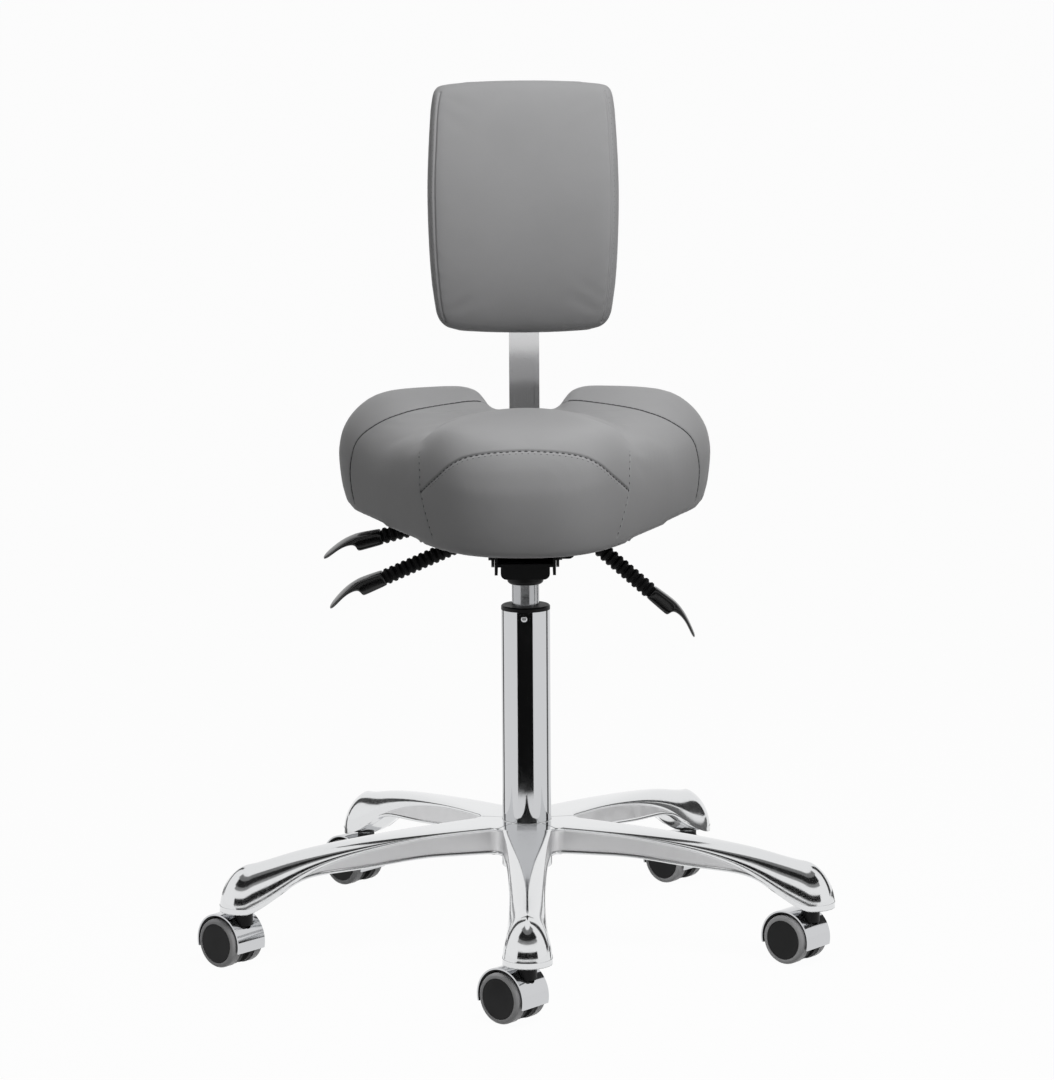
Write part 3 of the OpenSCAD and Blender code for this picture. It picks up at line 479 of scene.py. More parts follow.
def woven(name, colour, thread_mm):
    """A plain or spun cloth: two crossed waves for the yarns and fuzz on top."""
    material, tree, shader, place = new_material(name)
    warp, weft = [add(tree, "ShaderNodeTexWave", {
        "Vector": place, "Scale": per_mm(thread_mm) / WAVE_FACTOR, "Distortion": 1.5},
        bands_direction=way).outputs["Fac"] for way in "XY"]
    wire(tree, shader, {
        "Base Color": linear(colour), "Roughness": 0.9, "Sheen Weight": 0.2,
        "Normal": bump(tree, joined(tree, "MAXIMUM", warp, weft), 0.6, 0.2)})
    return material


def birch_plywood(name):
    """Birch plywood: pale, with fine long grain."""
    material, tree, shader, place = new_material(name)
    grain = long_grain(tree, place, (4, 60, 4), 6)
    wire(tree, shader, {
        "Base Color": mixed_colour(tree, grain, linear("#B9976B"), linear("#DCC198")),
        "Roughness": 0.7})
    return material


FINISH["grey_vinyl"] = upholstery_vinyl("grey_upholstery_vinyl")
# The same thread also makes the unbroken dark cord in the wing seams, which is painted shade for
# their grooves.
FINISH["grey_polyester_thread"] = woven("grey_polyester_thread", "#545456", 0.4)
FINISH["birch_plywood"] = birch_plywood("birch_plywood")
print("finishes:", len(FINISH))

# %% [markdown]
# Every CAD node that keeps its own mesh gets the finish of its record slot. The pieces that
# need a finer shape are made in the next cells and take the node's place.

# %% Finishes on the CAD nodes
# The slots whose finish has another name
FINISH_OF_SLOT = {"black_painted_steel": "black_powder_coat", "black_nylon": "black_moulded_nylon",
                  "wheel_nylon": "wheel_disc_nylon"}
FINISH_OF_NODE = {"back_bar": "satin_chromed_steel", "gas_cylinder": "ground_chromed_steel"}
SLOT_OF_NODE = {row["node"]: row["material_slot"] for row in frame["record"]["subparts"]}

for node_name, node_object in frame["nodes"].items():
    slot = SLOT_OF_NODE[node_name]
    finish = FINISH[FINISH_OF_NODE.get(node_name, FINISH_OF_SLOT.get(slot, slot))]
    for slot_place in node_object.material_slots:
        slot_place.material = finish
print("dressed", len(frame["nodes"]), "nodes")

# %% [markdown]
# Small helpers for shapes. A curve through measured stations gives sizes along a piece, a skin
# turns rows of points into quads, and every finished mesh becomes a piece in the same way:
# named, smooth, with its finish and its body, and with the CAD node that it stands for hidden.

# %% Curves
LOOP_STEPS = 8
PATH_STEPS = 40


def through(x, stations, values):
    """A smooth curve through measured stations, read at x."""
    stations, values = np.asarray(stations, float), np.asarray(values, float)
    slopes = np.gradient(values, stations)
    i = np.clip(np.searchsorted(stations, x) - 1, 0, len(stations) - 2)
    span = stations[i + 1] - stations[i]
    t = np.clip((x - stations[i]) / span, 0, 1)
    ease = 3 * t ** 2 - 2 * t ** 3
    start = (t ** 3 - 2 * t ** 2 + t) * span * slopes[i]
    end = (t ** 3 - t ** 2) * span * slopes[i + 1]
    return values[i] * (1 - ease) + values[i + 1] * ease + start + end


def between(p0, p1, p2, p3, t):
    """A Catmull-Rom curve's point from p1 to p2 at t, led by the points around them."""
    return 0.5 * (2 * p1 + (p2 - p0) * t + (2 * p0 - 5 * p1 + 4 * p2 - p3) * t ** 2
                  + (3 * p1 - p0 - 3 * p2 + p3) * t ** 3)


def smooth_loop(points):
    """A closed smooth curve through points, with LOOP_STEPS points for each of them."""
    points = np.asarray(points, float)
    return np.array([
        between(*(points[(i + k - 1) % len(points)] for k in range(4)), s / LOOP_STEPS)
        for i in range(len(points)) for s in range(LOOP_STEPS)])


def path_through(points, spacing=1.0):
    """Evenly spaced points on a smooth open curve through points, in millimetres."""
    points = np.asarray(points, float)
    ends = np.vstack([2 * points[0] - points[1], points, 2 * points[-1] - points[-2]])
    curve = [between(*ends[i - 1:i + 3], t) for i in range(1, len(ends) - 2)
             for t in np.linspace(0, 1, PATH_STEPS, endpoint=False)]
    curve = np.array(curve + [points[-1]])
    run = np.concatenate([[0], np.cumsum(np.linalg.norm(np.diff(curve, axis=0), axis=1))])
    steps = np.linspace(0, run[-1], max(2, int(run[-1] / spacing)))
    return np.column_stack([np.interp(steps, run, curve[:, k]) for k in range(3)])


# %% Meshes and pieces


def skin_faces(rows, columns, start=0):
    """Quads between rings of points."""
    return [(start + i * columns + j, start + (i + 1) * columns + j,
             start + (i + 1) * columns + (j + 1) % columns, start + i * columns + (j + 1) % columns)
            for i in range(rows - 1) for j in range(columns)]


def new_mesh(name, points_mm, faces, weld_mm=0.01, patches=()):
    """A mesh from points in millimetres, welded, with its faces turned outwards. The patches
    are the numbers of its faces' finishes, where it has more than one."""
    mesh = bpy.data.meshes.new(name)
    mesh.from_pydata([mm(*p) for p in points_mm], [], faces)
    if patches:
        mesh.polygons.foreach_set("material_index", patches)
    shape = bmesh.new()
    shape.from_mesh(mesh)
    bmesh.ops.remove_doubles(shape, verts=shape.verts, dist=weld_mm * MM)
    bmesh.ops.dissolve_degenerate(shape, edges=shape.edges, dist=weld_mm * MM)
    bmesh.ops.recalc_face_normals(shape, faces=shape.faces)
    shape.to_mesh(mesh)
    shape.free()
    return mesh


def closed_form(name, rings):
    """A closed mesh over rings, with a fan at each end."""
    count = len(rings[0])
    faces = skin_faces(len(rings), count)
    points = [p for ring in rings for p in ring]
    for ring, start in ((rings[0], 0), (rings[-1], (len(rings) - 1) * count)):
        middle = len(points)
        points.append(ring.mean(axis=0))
        faces += [(start + j, start + (j + 1) % count, middle) for j in range(count)]
    return new_mesh(name, points, faces)


def new_piece(name, mesh, finishes, body, stands_for=()):
    """A piece of the stool: shaded smooth, finished, carried by its body."""
    piece = new_object(name, mesh)
    mesh.shade_smooth()
    for finish in finishes:
        mesh.materials.append(FINISH[finish])
    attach(piece, body)
    if stands_for:
        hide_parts(*stands_for)
    return piece


def smoother(piece, levels):
    """Subdivision surface: the mesh is the cage of a smooth skin."""
    modifier = piece.modifiers.new("smooth_skin", "SUBSURF")
    modifier.levels = levels
    modifier.render_levels = levels


# %% [markdown]
# The star base is one casting. Half an arm is drawn as a cage, from its ridge over the polished
# crown to the edge, down the recessed brushed side to the lip, and into the hollow underneath.
# Mirrored and turned five times, the halves meet in the valleys between the arms, where the
# real casting has round fillets. A subdivision surface then makes the cage as smooth as the
# buffing wheel does, which matters because a mirror shows every kink.

# %% Star base: sizes along an arm
ARM_COUNT = 5
FIRST_ARM_DEG = -90
STEM_CIRCLE_R = 300
TIP_R = 24.5
HUB_R = 25.6
VALLEY_FILLET_R = 12
VALLEY_STATION_R = 54
HALF_SECTOR = math.radians(180 / ARM_COUNT)
# Stations from the column's axis outwards, and what was measured there
STATION_R = (26, 54, 81, 111, 141, 171, 201, 228, 240, 255, 270, 285, 300)
HALF_WIDTH = (26, 24.6, 22.1, 20.3, 19.0, 18.2, 17.8, 17.7, 17.9, 18.6, 20, 22.2, 24.5)
TOP_Z = (129.4, 128.9, 128, 127, 125.6, 123.6, 121, 117.7, 116, 113.2, 109.6, 106.6, 105.4)
FOOT_Z = (101, 101, 101, 101, 98.7, 95.3, 93.4, 91.7, 90.4, 83, 74, 66, 61)
CROWN_H = (2.4, 2.5, 3, 4, 6, 9, 13, 18.5, 22, 27.5, 34, 40, 44.5)
CROWN_POWER = (7, 5.5, 4.2, 3.2, 2.7, 2.45, 2.3, 2.2, 2.15, 2.1, 2.0, 1.95, 1.9)
RECESS = (1.7, 1.7, 1.7, 1.7, 1.7, 1.7, 1.6, 1.4, 1.1, 0.6, 0.2, 0, 0)
HOLLOW = (0, 0, 14, 17, 17, 16, 15, 10, 5, 0, 0, 0, 0)

# %% Star base: the edge of half an arm, seen from above
# Rows of the cage in the hub, round the valley's fillet, along the side and round the tip
HUB_SHARES = (0, 0.3, 0.6, 0.85)
FILLET_ROWS = 5
SIDE_ROWS = 14
TIP_ROWS = 6
# Where each stretch meets the ridge: how far beyond the valley, and its steps from row to row
RIDGE_LEAD = 6
FILLET_RIDGE_STEP = 1.4
TIP_RIDGE_R = 281
TIP_RIDGE_STEP = 2


def arm_edge():
    """Rows from the hub to the tip: ridge radius, edge point and outward direction, and the
    radius of the valley."""
    side_w = float(through(VALLEY_STATION_R, STATION_R, HALF_WIDTH))
    centre_r = (side_w + VALLEY_FILLET_R) / math.sin(HALF_SECTOR)
    out = np.array([math.cos(HALF_SECTOR), math.sin(HALF_SECTOR)])
    centre = centre_r * out
    valley_r = centre_r - VALLEY_FILLET_R
    rows = []
    for share in HUB_SHARES:
        r = HUB_R + share * (valley_r - HUB_R)
        rows.append((HUB_R + share * (valley_r + RIDGE_LEAD - HUB_R), r * out, out))
    for k in range(FILLET_ROWS):
        turn = math.pi + HALF_SECTOR + k / (FILLET_ROWS - 1) * (math.pi / 2 - HALF_SECTOR)
        away = -np.array([math.cos(turn), math.sin(turn)])
        rows.append((valley_r + RIDGE_LEAD + FILLET_RIDGE_STEP * k,
                     centre - VALLEY_FILLET_R * away, away))
    side_x = np.linspace(rows[-1][1][0], STEM_CIRCLE_R, SIDE_ROWS + 1)[1:]
    side_ridge = np.linspace(rows[-1][0], TIP_RIDGE_R, SIDE_ROWS + 1)[1:]
    for x, ridge in zip(side_x, side_ridge):
        rows.append((ridge, np.array([x, through(x, STATION_R, HALF_WIDTH)]),
                     np.array([0.0, 1.0])))
    for k in range(1, TIP_ROWS + 1):
        turn = math.pi / 2 * (1 - k / TIP_ROWS)
        away = np.array([math.cos(turn), math.sin(turn)])
        rows.append((TIP_RIDGE_R + TIP_RIDGE_STEP * k,
                     np.array([STEM_CIRCLE_R, 0]) + TIP_R * away, away))
    return rows, valley_r


# %% Star base: the cage
CROWN_SHARES = (0, 0.22, 0.42, 0.6, 0.75, 0.86, 0.94, 0.985)
HUB_ROWS = len(HUB_SHARES)
LAST_PANEL_ROW = 19
# The crown flattens this far before the valley, and bent rows turn straight over so many rows
HUB_BLEND = 9
BEND_ROWS = 6
SIDE_POINTS = 9
PANEL_FACES = range(len(CROWN_SHARES) + 1, len(CROWN_SHARES) + 5)
LIP_WIDTH = 5.5


def half_arm():
    """Points and faces of half an arm, crown first, then the side and the underside."""
    rows, valley_r = arm_edge()
    grid = []
    for i, (ridge_r, edge, away) in enumerate(rows):
        reach = float(np.hypot(*edge)) if i < HUB_ROWS + FILLET_ROWS else float(edge[0])
        top, foot, crown, power, recess, hollow = [
            float(through(min(reach, STEM_CIRCLE_R), STATION_R, values))
            for values in (TOP_Z, FOOT_Z, CROWN_H, CROWN_POWER, RECESS, HOLLOW)]
        ridge_top = float(through(min(ridge_r, STEM_CIRCLE_R), STATION_R, TOP_Z))
        bent = 1.0 if i <= HUB_ROWS else max(0.0, 1 - (i - HUB_ROWS) / BEND_ROWS)
        if i < HUB_ROWS:
            crown *= min(1.0, max(0.0, 1 - (valley_r - reach) / HUB_BLEND)) ** 2

        def plan(share):
            straight = np.array([ridge_r, 0]) * (1 - share) + edge * share
            turn = share * math.atan2(edge[1], edge[0])
            r = ridge_r + (np.hypot(*edge) - ridge_r) * share ** 2
            return bent * r * np.array([math.cos(turn), math.sin(turn)]) + (1 - bent) * straight

        column = []
        for share in CROWN_SHARES:
            drop = crown * (1 - (1 - share ** power) ** (1 / power))
            column.append((*plan(share), ridge_top * (1 - share) + top * share - drop))
        # Down the side: how far in from the edge, and how high
        low = top - crown
        for inset, z in ((0, low), (recess, low - 1.0), (recess, low - 2.2),
                         (recess, (low + foot) / 2), (recess, foot + 4.6), (recess, foot + 3.6),
                         (0.1, foot + 2.6), (0.1, foot + 0.9), (0.9, foot)):
            column.append((*(edge - inset * away), z))
        # Underneath: the lip and the hollow, by share of the way from the ridge to the edge
        lip = max(0.5, 1 - LIP_WIDTH / float(np.hypot(*(edge - np.array([ridge_r, 0])))))
        for share, z in ((lip, foot), (lip - 0.06, foot + 0.4), (lip - 0.1, foot + 0.85 * hollow),
                         (0.55 * lip, foot + hollow), (0, foot + hollow)):
            column.append((*plan(share), z))
        grid.append(column)
    count, height = len(CROWN_SHARES), len(grid[0])
    faces, patches = [], []
    for i in range(len(grid) - 1):
        for j in range(height - 1):
            if i < HUB_ROWS and count - 1 <= j < count - 1 + SIDE_POINTS:
                continue
            a = i * height + j
            faces.append((a, a + height, a + height + 1, a + 1))
            patches.append(1 if j in PANEL_FACES and i <= LAST_PANEL_ROW else 0)
    return [p for column in grid for p in column], faces, patches


# %% Star base: the casting
# The socket in the middle that the column stands in, turned on a lathe: radius and height
SOCKET_PROFILE = [(25.02, 96), (25.02, 128.6), (25.05, 129.4), (25.2, 129.85), (25.45, 129.95),
                  (25.75, 129.8), (25.9, 129.3), (25.92, 128.4), (25.92, 96), (25.92, 82.6),
                  (25.8, 81.9), (25.2, 81.3), (24.4, 81.05), (20, 81)]
SOCKET_TURNS = np.arange(64) * 2 * math.pi / 64


def star_base():
    """The mesh of the whole casting: ten half arms and the socket."""
    points, faces, patches = half_arm()
    all_points, all_faces = [], []
    for k in range(ARM_COUNT):
        turn = math.radians(FIRST_ARM_DEG + k * 360 / ARM_COUNT)
        cos, sin = math.cos(turn), math.sin(turn)
        for side in (1, -1):
            start = len(all_points)
            all_points += [(x * cos - side * y * sin, x * sin + side * y * cos, z)
                           for x, y, z in points]
            all_faces += [tuple(start + v for v in face) for face in faces]
    all_patches = patches * (2 * ARM_COUNT)
    all_faces += skin_faces(len(SOCKET_PROFILE), len(SOCKET_TURNS), len(all_points))
    all_patches += [0] * (len(all_faces) - len(all_patches))
    all_points += [(r * math.cos(turn), r * math.sin(turn), z)
                   for r, z in SOCKET_PROFILE for turn in SOCKET_TURNS]
    return new_mesh("star_base_casting", all_points, all_faces, weld_mm=0.05,
                    patches=all_patches)


star = new_piece("star_base_casting", star_base(), ("polished_cast_aluminium",
                 "brushed_cast_aluminium"), "base", ("star_base",))
smoother(star, 2)
print("star base cage:", len(star.data.polygons), "faces")

# %% [markdown]
# Both cushions are made the same way. A closed form is remeshed into even squares, then the
# cloth solver swells it a few millimetres, as foam pushes its cover out, while the seams and
# the edge over the board hold it in. The movement is capped, so the size stays the CAD's. The
# seams come after that: the mesh is refined beside them, pressed in along them, and sewn.

# %% Upholstery: swelling
SIM_FRAMES = 20
COVER_STIFFNESS = 30
COVER_BENDING = 2
EVEN_ROUNDS = 6
TAUT_ROUNDS = 5


def applied(piece):
    """Replace a piece's mesh by its mesh with all modifiers applied."""
    bpy.context.view_layer.update()
    graph = bpy.context.evaluated_depsgraph_get()
    mesh = bpy.data.meshes.new_from_object(piece.evaluated_get(graph))
    piece.modifiers.clear()
    piece.data = mesh


def coordinates(mesh):
    """The mesh's points in millimetres."""
    flat = np.empty(3 * len(mesh.vertices))
    mesh.vertices.foreach_get("co", flat)
    return flat.reshape(-1, 3) / MM


def set_coordinates(mesh, points):
    """Move the mesh's points to places in millimetres."""
    mesh.vertices.foreach_set("co", (points * MM).ravel())
    mesh.update()


def relax(piece, name, rounds):
    """Even out the mesh: each round moves every point halfway to its neighbours' middle."""
    modifier = piece.modifiers.new(name, "SMOOTH")
    modifier.factor = 0.5
    modifier.iterations = rounds


def gap_to(points, paths):
    """Distance in millimetres from each point to the nearest path."""
    nearest = np.full(len(points), 1e9)
    for path in paths:
        for place in path:
            nearest = np.minimum(nearest, np.linalg.norm(points - place, axis=1))
    return nearest


def swollen(mesh, name, voxel_mm, held, pressure, cap_mm):
    """Remesh a closed form and swell it as cloth, with the points that held() names kept."""
    piece = new_object(name, mesh)
    even = piece.modifiers.new("even_squares", "REMESH")
    even.mode = "VOXEL"
    even.voxel_size = voxel_mm * MM
    relax(piece, "settle", EVEN_ROUNDS)
    applied(piece)
    before = coordinates(piece.data)
    kept = piece.vertex_groups.new(name="held")
    kept.add([int(i) for i in np.flatnonzero(held(before))], 1.0, "REPLACE")
    cloth = piece.modifiers.new("foam_and_cover", "CLOTH").settings
    cloth.use_pressure = True
    cloth.uniform_pressure_force = pressure
    cloth.vertex_group_mass = "held"
    cloth.tension_stiffness = COVER_STIFFNESS
    cloth.compression_stiffness = COVER_STIFFNESS
    cloth.bending_stiffness = COVER_BENDING
    cloth.effector_weights.gravity = 0
    for moment in range(1, SIM_FRAMES + 1):
        bpy.context.scene.frame_set(moment)
    graph = bpy.context.evaluated_depsgraph_get()
    moved = coordinates(piece.evaluated_get(graph).data) - before
    piece.modifiers.clear()
    piece.vertex_groups.clear()
    bpy.context.scene.frame_set(1)
    length = np.linalg.norm(moved, axis=1, keepdims=True)
    capped = moved * np.minimum(1, cap_mm / np.maximum(length, 1e-6))
    set_coordinates(piece.data, before + capped)
    relax(piece, "taut", TAUT_ROUNDS)
    print(name, "swelled by up to", round(float(length.max()), 1), "mm, kept within", cap_mm)
    smoother(piece, 1)
    applied(piece)
    return piece


# %% Upholstery: seams
SEAM_HALF_W = 1.3
# The mesh is refined this far beside a seam, less in each round, and a little more for all
FINE_REACH = 6
FINE_MARGIN = 1.5
FINE_ROUNDS = 2
EASE_REACH = 4
HOLD_REACH = 3.5


def bell(t):
    """A soft bump: 1 in the middle, and nearly 0 from 2 on."""
    return np.exp(-np.square(t))


def skin_of(mesh):
    """A tree that finds the nearest place on the mesh."""
    shape = bmesh.new()
    shape.from_mesh(mesh)
    tree = BVHTree.FromBMesh(shape)
    shape.free()
    return tree


def unit(rows):
    """Each row with a length of one."""
    return rows / np.linalg.norm(rows, axis=1, keepdims=True)


def eased(values):
    """Each value as the mean of its neighbours along the path."""
    padded = np.pad(values, ((EASE_REACH, EASE_REACH), (0, 0)), mode="edge")
    return np.array([padded[i:i + 2 * EASE_REACH + 1].mean(axis=0) for i in range(len(values))])


def on_surface(tree, path):
    """The path moved onto the skin, and the skin's direction there."""
    found = [tree.find_nearest(Vector(mm(*p))) for p in path]
    out = unit(eased(np.array([hit[1] for hit in found])))
    return np.array([hit[0] for hit in found]) / MM, out


def refined(mesh, paths):
    """Split the faces beside the seams, so that a narrow groove has points to bend."""
    for step in range(FINE_ROUNDS):
        shape = bmesh.new()
        shape.from_mesh(mesh)
        shape.faces.ensure_lookup_table()
        centres = np.array([face.calc_center_median() for face in shape.faces]) / MM
        near = gap_to(centres, paths) < FINE_REACH / (step + 1) + FINE_MARGIN
        edges = {edge for face, close in zip(shape.faces, near) if close for edge in face.edges}
        bmesh.ops.subdivide_edges(shape, edges=list(edges), cuts=1, use_grid_fill=True,
                                  smooth=0.0)
        bmesh.ops.triangulate(shape, faces=[f for f in shape.faces if len(f.verts) > 4])
        shape.to_mesh(mesh)
        shape.free()


def pressed(piece, path, depth, half_w):
    """Press the cover in along a path."""
    points = coordinates(piece.data)
    normals = np.empty(3 * len(points))
    piece.data.vertices.foreach_get("normal", normals)
    inward = depth * bell(gap_to(points, [path]) / half_w)
    set_coordinates(piece.data, points - normals.reshape(-1, 3) * inward[:, None])


def sew(piece, seams, depths):
    """Press in the seams, each to its depth in millimetres, and cover the piece in vinyl."""
    refined(piece.data, seams)
    for path, depth in zip(seams, depths):
        pressed(piece, path_through(path[::3], 0.4), depth, SEAM_HALF_W)
    piece.data.shade_smooth()
    piece.data.materials.clear()
    piece.data.materials.append(FINISH["grey_vinyl"])


# %% Upholstery: stitches
STITCH_R = 0.45
STEPS_PER_STITCH = 4
# Sections of a stitch: share of its length, girth, and height in radii of the thread
STITCH_SECTIONS = ((-0.5, 0.4, -0.9), (-0.36, 0.95, -0.3), (0, 1.05, 0), (0.36, 0.95, -0.3),
                   (0.5, 0.4, -0.9))
STITCH_TURNS = np.arange(6) * math.pi / 3


def stitches(name, tree, path, offset, length, pitch, sink, body):
    """One mesh of short thread capsules beside a path, drawn tight into the cover."""
    points, faces = [], []
    line, out = on_surface(tree, path_through(path, pitch / STEPS_PER_STITCH))
    ahead = unit(eased(np.gradient(line, axis=0)))
    laid, up = on_surface(tree, line + offset * np.cross(ahead, out))
    sides = len(STITCH_TURNS)
    size = sides * len(STITCH_SECTIONS)
    for k in range(2, len(laid) - 2, STEPS_PER_STITCH):
        across = np.cross(ahead[k], up[k])
        start = len(points)
        for reach, girth, lift in STITCH_SECTIONS:
            centre = laid[k] + reach * length * ahead[k] + (lift * STITCH_R - sink) * up[k]
            points += [centre + girth * STITCH_R * (math.cos(turn) * across
                                                    + math.sin(turn) * up[k])
                       for turn in STITCH_TURNS]
        faces += skin_faces(len(STITCH_SECTIONS), sides, start)
        faces += [tuple(range(start, start + sides)),
                  tuple(range(start + size - sides, start + size))]
    print(name, len(points) // size, "stitches")
    return new_piece(name, new_mesh(name, points, faces), ("grey_polyester_thread",),
                     body)


# %% [markdown]
# The saddle is a block of moulded foam under stretched vinyl. Its plan is a rounded triangle
# with a notch for the tailbone. Its top is a gentle plane with swellings added: the dome of
# the pommel in front, a wing on each side and a low bridge before the notch, to which the
# flanks of the wings fall steeply. The edge rolls over as a quarter of an ellipse, wide at the
# wings and tight in the notch, and it tucks in above the board.

# %% Seat: plan
SEAT_LEVEL = 440
SEAT_TILT_DEG = 3
SEAT_HALF_W = 192
SEAT_L = 341
SEAT_NOSE_Y = -193
SEAT_MID = np.array([0, -20])
SEAT_OUTLINE_SHARES = [
    (0, 0), (0.20, 0.012), (0.36, 0.062), (0.50, 0.17), (0.625, 0.317), (0.745, 0.463),
    (0.86, 0.61), (0.958, 0.742), (1, 0.845), (0.958, 0.932), (0.833, 0.985), (0.64, 1),
    (0.46, 0.982), (0.325, 0.925), (0.235, 0.85), (0.14, 0.79), (0, 0.765)]
IN_SEAT = Matrix.Translation(mm(0, 0, SEAT_LEVEL)) @ Matrix.Rotation(
    math.radians(SEAT_TILT_DEG), 4, "X")


def both_sides(half):
    """A closed loop from its right half, which runs from the front middle to the rear."""
    return list(half) + [(-x, y) for x, y in half[-2:0:-1]]


seat_outline = smooth_loop(both_sides(
    [(x * SEAT_HALF_W, SEAT_NOSE_Y + y * SEAT_L) for x, y in SEAT_OUTLINE_SHARES]))
print("seat outline:", len(seat_outline), "points")

# %% Seat: height
SADDLE_H = 98
POMMEL = {"rise": 26, "y": -88, "half_w": 105, "half_l": 124}
SHOULDER = {"rise": 11, "x": 80, "y": -140, "radius": 55}
WING = {"rise": 24, "x": 92, "y": 92, "half_w": 130, "half_l": (75, 85)}
FLANK = {"x": 35, "width": 24, "spread": 0.7, "y": 70}
BRIDGE = {"rise": 6.5, "y": 56, "half_w": 45, "half_l": 30}
SIDE_FALL = 6


def saddle_height(x, y):
    """Height of the padding without its rolled edge."""
    x = np.abs(x)
    wing_l = np.where(y > WING["y"], WING["half_l"][1], WING["half_l"][0])
    flank_w = FLANK["width"] + FLANK["spread"] * np.maximum(FLANK["y"] - y, 0)
    flank = 1 - (1 - np.clip((x - FLANK["x"]) / flank_w, 0, 1)) ** 3
    dome = 1 - np.square(x / POMMEL["half_w"]) - np.square((y - POMMEL["y"]) / POMMEL["half_l"])
    return (SADDLE_H - SIDE_FALL * (x / SEAT_HALF_W) ** 6
            + POMMEL["rise"] * np.maximum(dome, 0)
            + SHOULDER["rise"] * bell(np.hypot(x - SHOULDER["x"], y - SHOULDER["y"])
                                      / SHOULDER["radius"])
            + WING["rise"] * bell((y - WING["y"]) / wing_l) * flank
            * bell(np.maximum(x - WING["x"], 0) / WING["half_w"])
            + BRIDGE["rise"] * bell(np.square(x / BRIDGE["half_w"]))
            * bell((y - BRIDGE["y"]) / BRIDGE["half_l"]))


# %% Seat: rolled edge
# Width and height of the roll: at the wings, along the front, at the nose and in the notch
ROLL = {"wing": (55, 44), "front": (25, 34), "nose": (24, 36), "notch": (12, 22)}
# Where each roll begins to take over, going towards the middle or the front, and how fast
TAKES_OVER = {"front": (-10, 60), "nose": (75, 45), "notch": (85, 35)}
NOTCH_HALF_W = 50
# Rings as shares of the outline, with heights: under the board, round the lip, up the side by
# share of the side's height, and over the top
UNDER_SHARES = (0.5, 0.90)
LIP_RINGS = [(0.906, -1.4), (0.92, -2.7), (0.935, -3.0), (0.948, -2.3), (0.956, -0.6)]
SIDE_RINGS = [(0.961, 0.035), (0.966, 0.08), (0.972, 0.14), (0.98, 0.22),
              (0.988, 0.33), (0.995, 0.46), (1.001, 0.62), (1.005, 0.8), (1.006, 0.92)]
TOP_SHARES = (1.005, 1.0, 0.994, 0.985, 0.973, 0.957, 0.937, 0.91, 0.875, 0.83, 0.775, 0.71,
              0.63, 0.54, 0.44, 0.33, 0.21, 0.1)


def taken_over(values, start, width):
    """0 above start, and 1 from width below it, with an eased step between."""
    t = np.clip((start - values) / width, 0, 1)
    return (t * t * (3 - 2 * t))[:, None]


def roll_sizes(loop):
    """Width and height of the rolled edge for each point of the outline."""
    x, y = np.abs(loop[:, 0]), loop[:, 1]
    front = taken_over(y, *TAKES_OVER["front"])
    nose = front * taken_over(x, *TAKES_OVER["nose"])
    notch = (y > 0)[:, None] * taken_over(x, *TAKES_OVER["notch"])
    sizes = np.array(ROLL["wing"])
    for zone, share in (("front", front), ("nose", nose), ("notch", notch)):
        sizes = sizes * (1 - share) + np.array(ROLL[zone]) * share
    return sizes


def inset(points, loop):
    """Distance of each point inside the outline, and the number of the outline's nearest
    point."""
    along = np.roll(loop, -1, axis=0) - loop
    offset = points[:, None] - loop
    share = np.clip((offset * along).sum(2) / np.square(along).sum(1), 0, 1)
    gap = np.linalg.norm(offset - share[..., None] * along, axis=2)
    return gap.min(axis=1), gap.argmin(axis=1)


def seat_rings(loop):
    """Rings of the seat in its own frame, from the lower edge up and over to the middle."""
    sizes = roll_sizes(loop)
    edge_h = saddle_height(loop[:, 0], loop[:, 1]) - sizes[:, 1]
    over_board = np.where(loop[:, 1] < 0, 1, np.clip(np.abs(loop[:, 0]) / NOTCH_HALF_W - 1, 0, 1))

    def ring(share, heights):
        return np.column_stack([SEAT_MID + (loop - SEAT_MID) * share, heights])

    rings = [ring(share, np.zeros(len(loop))) for share in UNDER_SHARES]
    rings += [ring(share, height * over_board) for share, height in LIP_RINGS]
    rings += [ring(share, height * edge_h) for share, height in SIDE_RINGS]
    for share in TOP_SHARES:
        flat = SEAT_MID + (loop - SEAT_MID) * share
        gap, nearest = inset(flat, loop)
        if share >= 1:
            gap, nearest = np.zeros(len(loop)), np.arange(len(loop))
        width, height = sizes[nearest].T
        into = np.clip(1 - gap / width, 0, 1)
        drop = height * (1 - np.sqrt(1 - np.square(into)))
        rings.append(np.column_stack([flat, saddle_height(flat[:, 0], flat[:, 1]) - drop]))
    return rings


# %% Seat: seams in the seat's own frame
# The right half of each seam, as places on the cover: a wing seam runs from the notch over the
# top and down the side, a nose seam runs down the front, and the arch joins the nose seams.
WING_SEAM = [(40, 64, 107), (50, 56, 111), (68, 46, 113), (85, 39, 112.5), (105, 32, 110.5),
             (126, 26, 106), (144, 27, 98.5), (156, 30, 91.5), (168, 36, 81), (174.5, 40, 70),
             (177.5, 42, 58.5), (179, 47, 42.5), (178.5, 48.5, 27), (175, 48, 4)]
NOSE_SEAM = [(103.5, -110, 90), (103, -121, 75), (102.5, -124, 56), (98.5, -129.5, 37),
             (93.5, -134.5, 20), (90, -137, 9)]
ARCH_HALF = [(0, -181, 105.5), (21.5, -181, 104.5), (41, -178.5, 102), (59, -173, 97),
             (73.5, -165, 88), (87.5, -150.5, 73), (102.5, -124, 54)]
# Behind the pommel the cover is drawn in a little, along half an ellipse
CREASE = [(4 + 99 * math.cos(t), -88 + 124 * math.sin(t), 108)
          for t in np.linspace(math.radians(4), math.radians(176), 24)]
CREASE_DEPTH = 2.2
CREASE_HALF_W = 9


def mirrored(points):
    """The left half for a right one."""
    return [(-x, y, z) for x, y, z in points]


